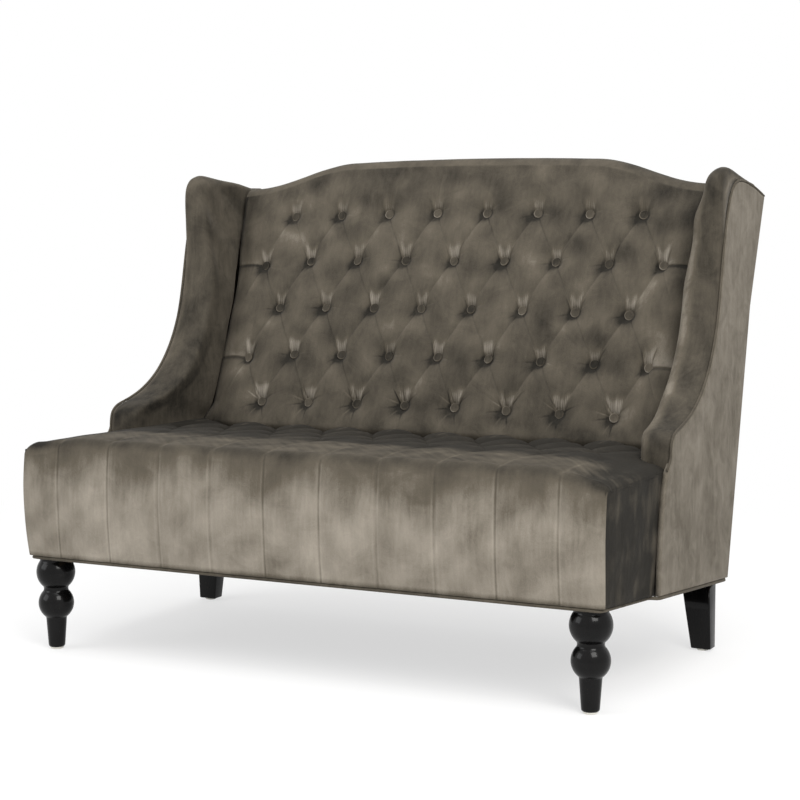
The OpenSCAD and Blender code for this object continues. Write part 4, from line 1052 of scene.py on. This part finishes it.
def build_dust_cloth():
    rows, cols, leg_clear, rear_clear_x, rear_clear_y = 46, 90, 44, 70, 60
    half, front, back = BOARD_X, EDGE_Y + COVER_T, EDGE_Y + BASE_D - COVER_T
    X, Y = np.meshgrid(np.linspace(-half, half, cols), np.linspace(front, back, rows))
    sag = 4.0 * np.sin(np.pi * (X + half) / (2 * half)) * np.sin(np.pi * (Y - front) / (back - front))
    v = xyz(X, Y, base_z(Y) - 0.6 - sag + 0.4 * wave(X, Y, 90, 71)).reshape(-1, 3)
    faces, area = [], 0.0
    for f in grid_faces(rows, cols, flip=True):
        a, b, c, d = v[list(f)]
        x, y, _ = (a + b + c + d) / 4
        if abs(x) > HALF_W - LEG_INSET_X - leg_clear and y < EDGE_Y + LEG_INSET_Y + leg_clear:
            continue
        if abs(x) > HALF_W - REAR_INSET - rear_clear_x and y > BASE_BACK_Y - rear_clear_y:
            continue
        faces.append(f)
        area += 0.5 * (np.linalg.norm(np.cross(b - a, c - a)) + np.linalg.norm(np.cross(c - a, d - a)))
    obj = piece("dust_cloth", v, faces, MATERIALS["dust_cloth"], ["dust_cover"], slot="dust_cloth")


build_back()
build_buttons()
build_seat()
for sgn, side in ((-1, "left"), (1, "right")):
    build_wing(sgn, side)
    build_panel(sgn, side)
    build_piping(sgn, side)
    build_turned_leg(sgn, side)
    build_rear_leg(sgn, side)
build_base_welt()
build_outside_back()
build_dust_cloth()


# Stage, lights, world and camera

def seen_directly(tree):
    """1 for the rays that show the background: camera, glossy and transmission rays."""
    path = tree.nodes.new("ShaderNodeLightPath")
    total = math_node(tree, "ADD", path.outputs["Is Camera Ray"], path.outputs["Is Glossy Ray"])
    return math_node(tree, "ADD", total, path.outputs["Is Transmission Ray"])


def mixed(tree, share, first, second):
    """A mix of two shaders' outputs."""
    mix = tree.nodes.new("ShaderNodeMixShader")
    for i, source in enumerate((share, first, second)):
        tree.links.new(source, mix.inputs[i])
    return mix.outputs[0]


def build_floor():
    """A light floor that catches the shadow and fades to white away from the object."""
    reach = 14
    corners = [(-reach, -reach, 0), (reach, -reach, 0), (reach, reach, 0), (-reach, reach, 0)]
    mesh = bpy.data.meshes.new("floor")
    mesh.from_pydata(corners, [], [(0, 1, 2, 3)])
    m, t, shader = new_material("floor", {
        "Base Color": (0.93, 0.93, 0.93, 1), "Roughness": 0.75, "Specular IOR Level": 0.25})
    flat = node(t, "ShaderNodeVectorMath", operation="MULTIPLY")
    flat.inputs[1].default_value = (1, 1, 0)
    t.links.new(node(t, "ShaderNodeNewGeometry").outputs["Position"], flat.inputs[0])
    length = node(t, "ShaderNodeVectorMath", operation="LENGTH")
    t.links.new(flat.outputs[0], length.inputs[0])
    fading = node(t, "ShaderNodeMapRange", interpolation_type="SMOOTHSTEP", **{
        "From Min": 0.5, "From Max": 2.4, "To Min": 0.62, "To Max": 1.0})
    t.links.new(length.outputs["Value"], fading.inputs["Value"])
    far = math_node(t, "MULTIPLY", fading.outputs[0], seen_directly(t))
    glow = node(t, "ShaderNodeEmission", Strength=1.0)
    t.links.new(mixed(t, far, shader.outputs[0], glow.outputs[0]), t.nodes["Material Output"].inputs[0])
    mesh.materials.append(m)
    new_object("floor", mesh)


def area_light(name, at, target, size, power, colour=(1, 1, 1)):
    data = bpy.data.lights.new(name, "AREA")
    data.shape = "RECTANGLE"
    data.size, data.size_y = size
    data.energy, data.color = power, colour
    obj = new_object(name, data)
    obj.location = at
    obj.rotation_euler = (Vector(target) - Vector(at)).to_track_quat("-Z", "Y").to_euler()


def build_world():
    """Soft white light all round, pure white where it is seen directly."""
    world = bpy.data.worlds.new("studio")
    bpy.context.scene.world = world
    world.use_nodes = True
    t = world.node_tree
    t.nodes.clear()
    soft, white = (node(t, "ShaderNodeBackground", Strength=s, Color=(1, 1, 1, 1)) for s in (0.55, 1.0))
    out = t.nodes.new("ShaderNodeOutputWorld")
    t.links.new(mixed(t, seen_directly(t), soft.outputs[0], white.outputs[0]), out.inputs[0])


def build_camera():
    data = bpy.data.cameras.new("camera")
    data.sensor_width, data.lens = 36.0, 86.23
    camera = new_object("camera", data)
    camera.location = (1.853, -3.569, 0.862)
    camera.rotation_euler = [math.radians(a) for a in (85.011, 0.04, 27.431)]
    bpy.context.scene.camera = camera


build_floor()
area_light("key", (2.9, -2.6, 3.3), (0, 0, 0.6), (2.2, 2.2), 150, (1.0, 0.985, 0.96))
area_light("top", (0.0, -0.4, 3.9), (0, 0, 0.4), (4.2, 3.2), 120)
area_light("fill", (-3.4, -3.0, 2.1), (0, 0, 0.6), (2.6, 2.2), 55, (0.97, 0.985, 1.0))
build_world()
bpy.context.scene.view_settings.view_transform = "Standard"
build_camera()
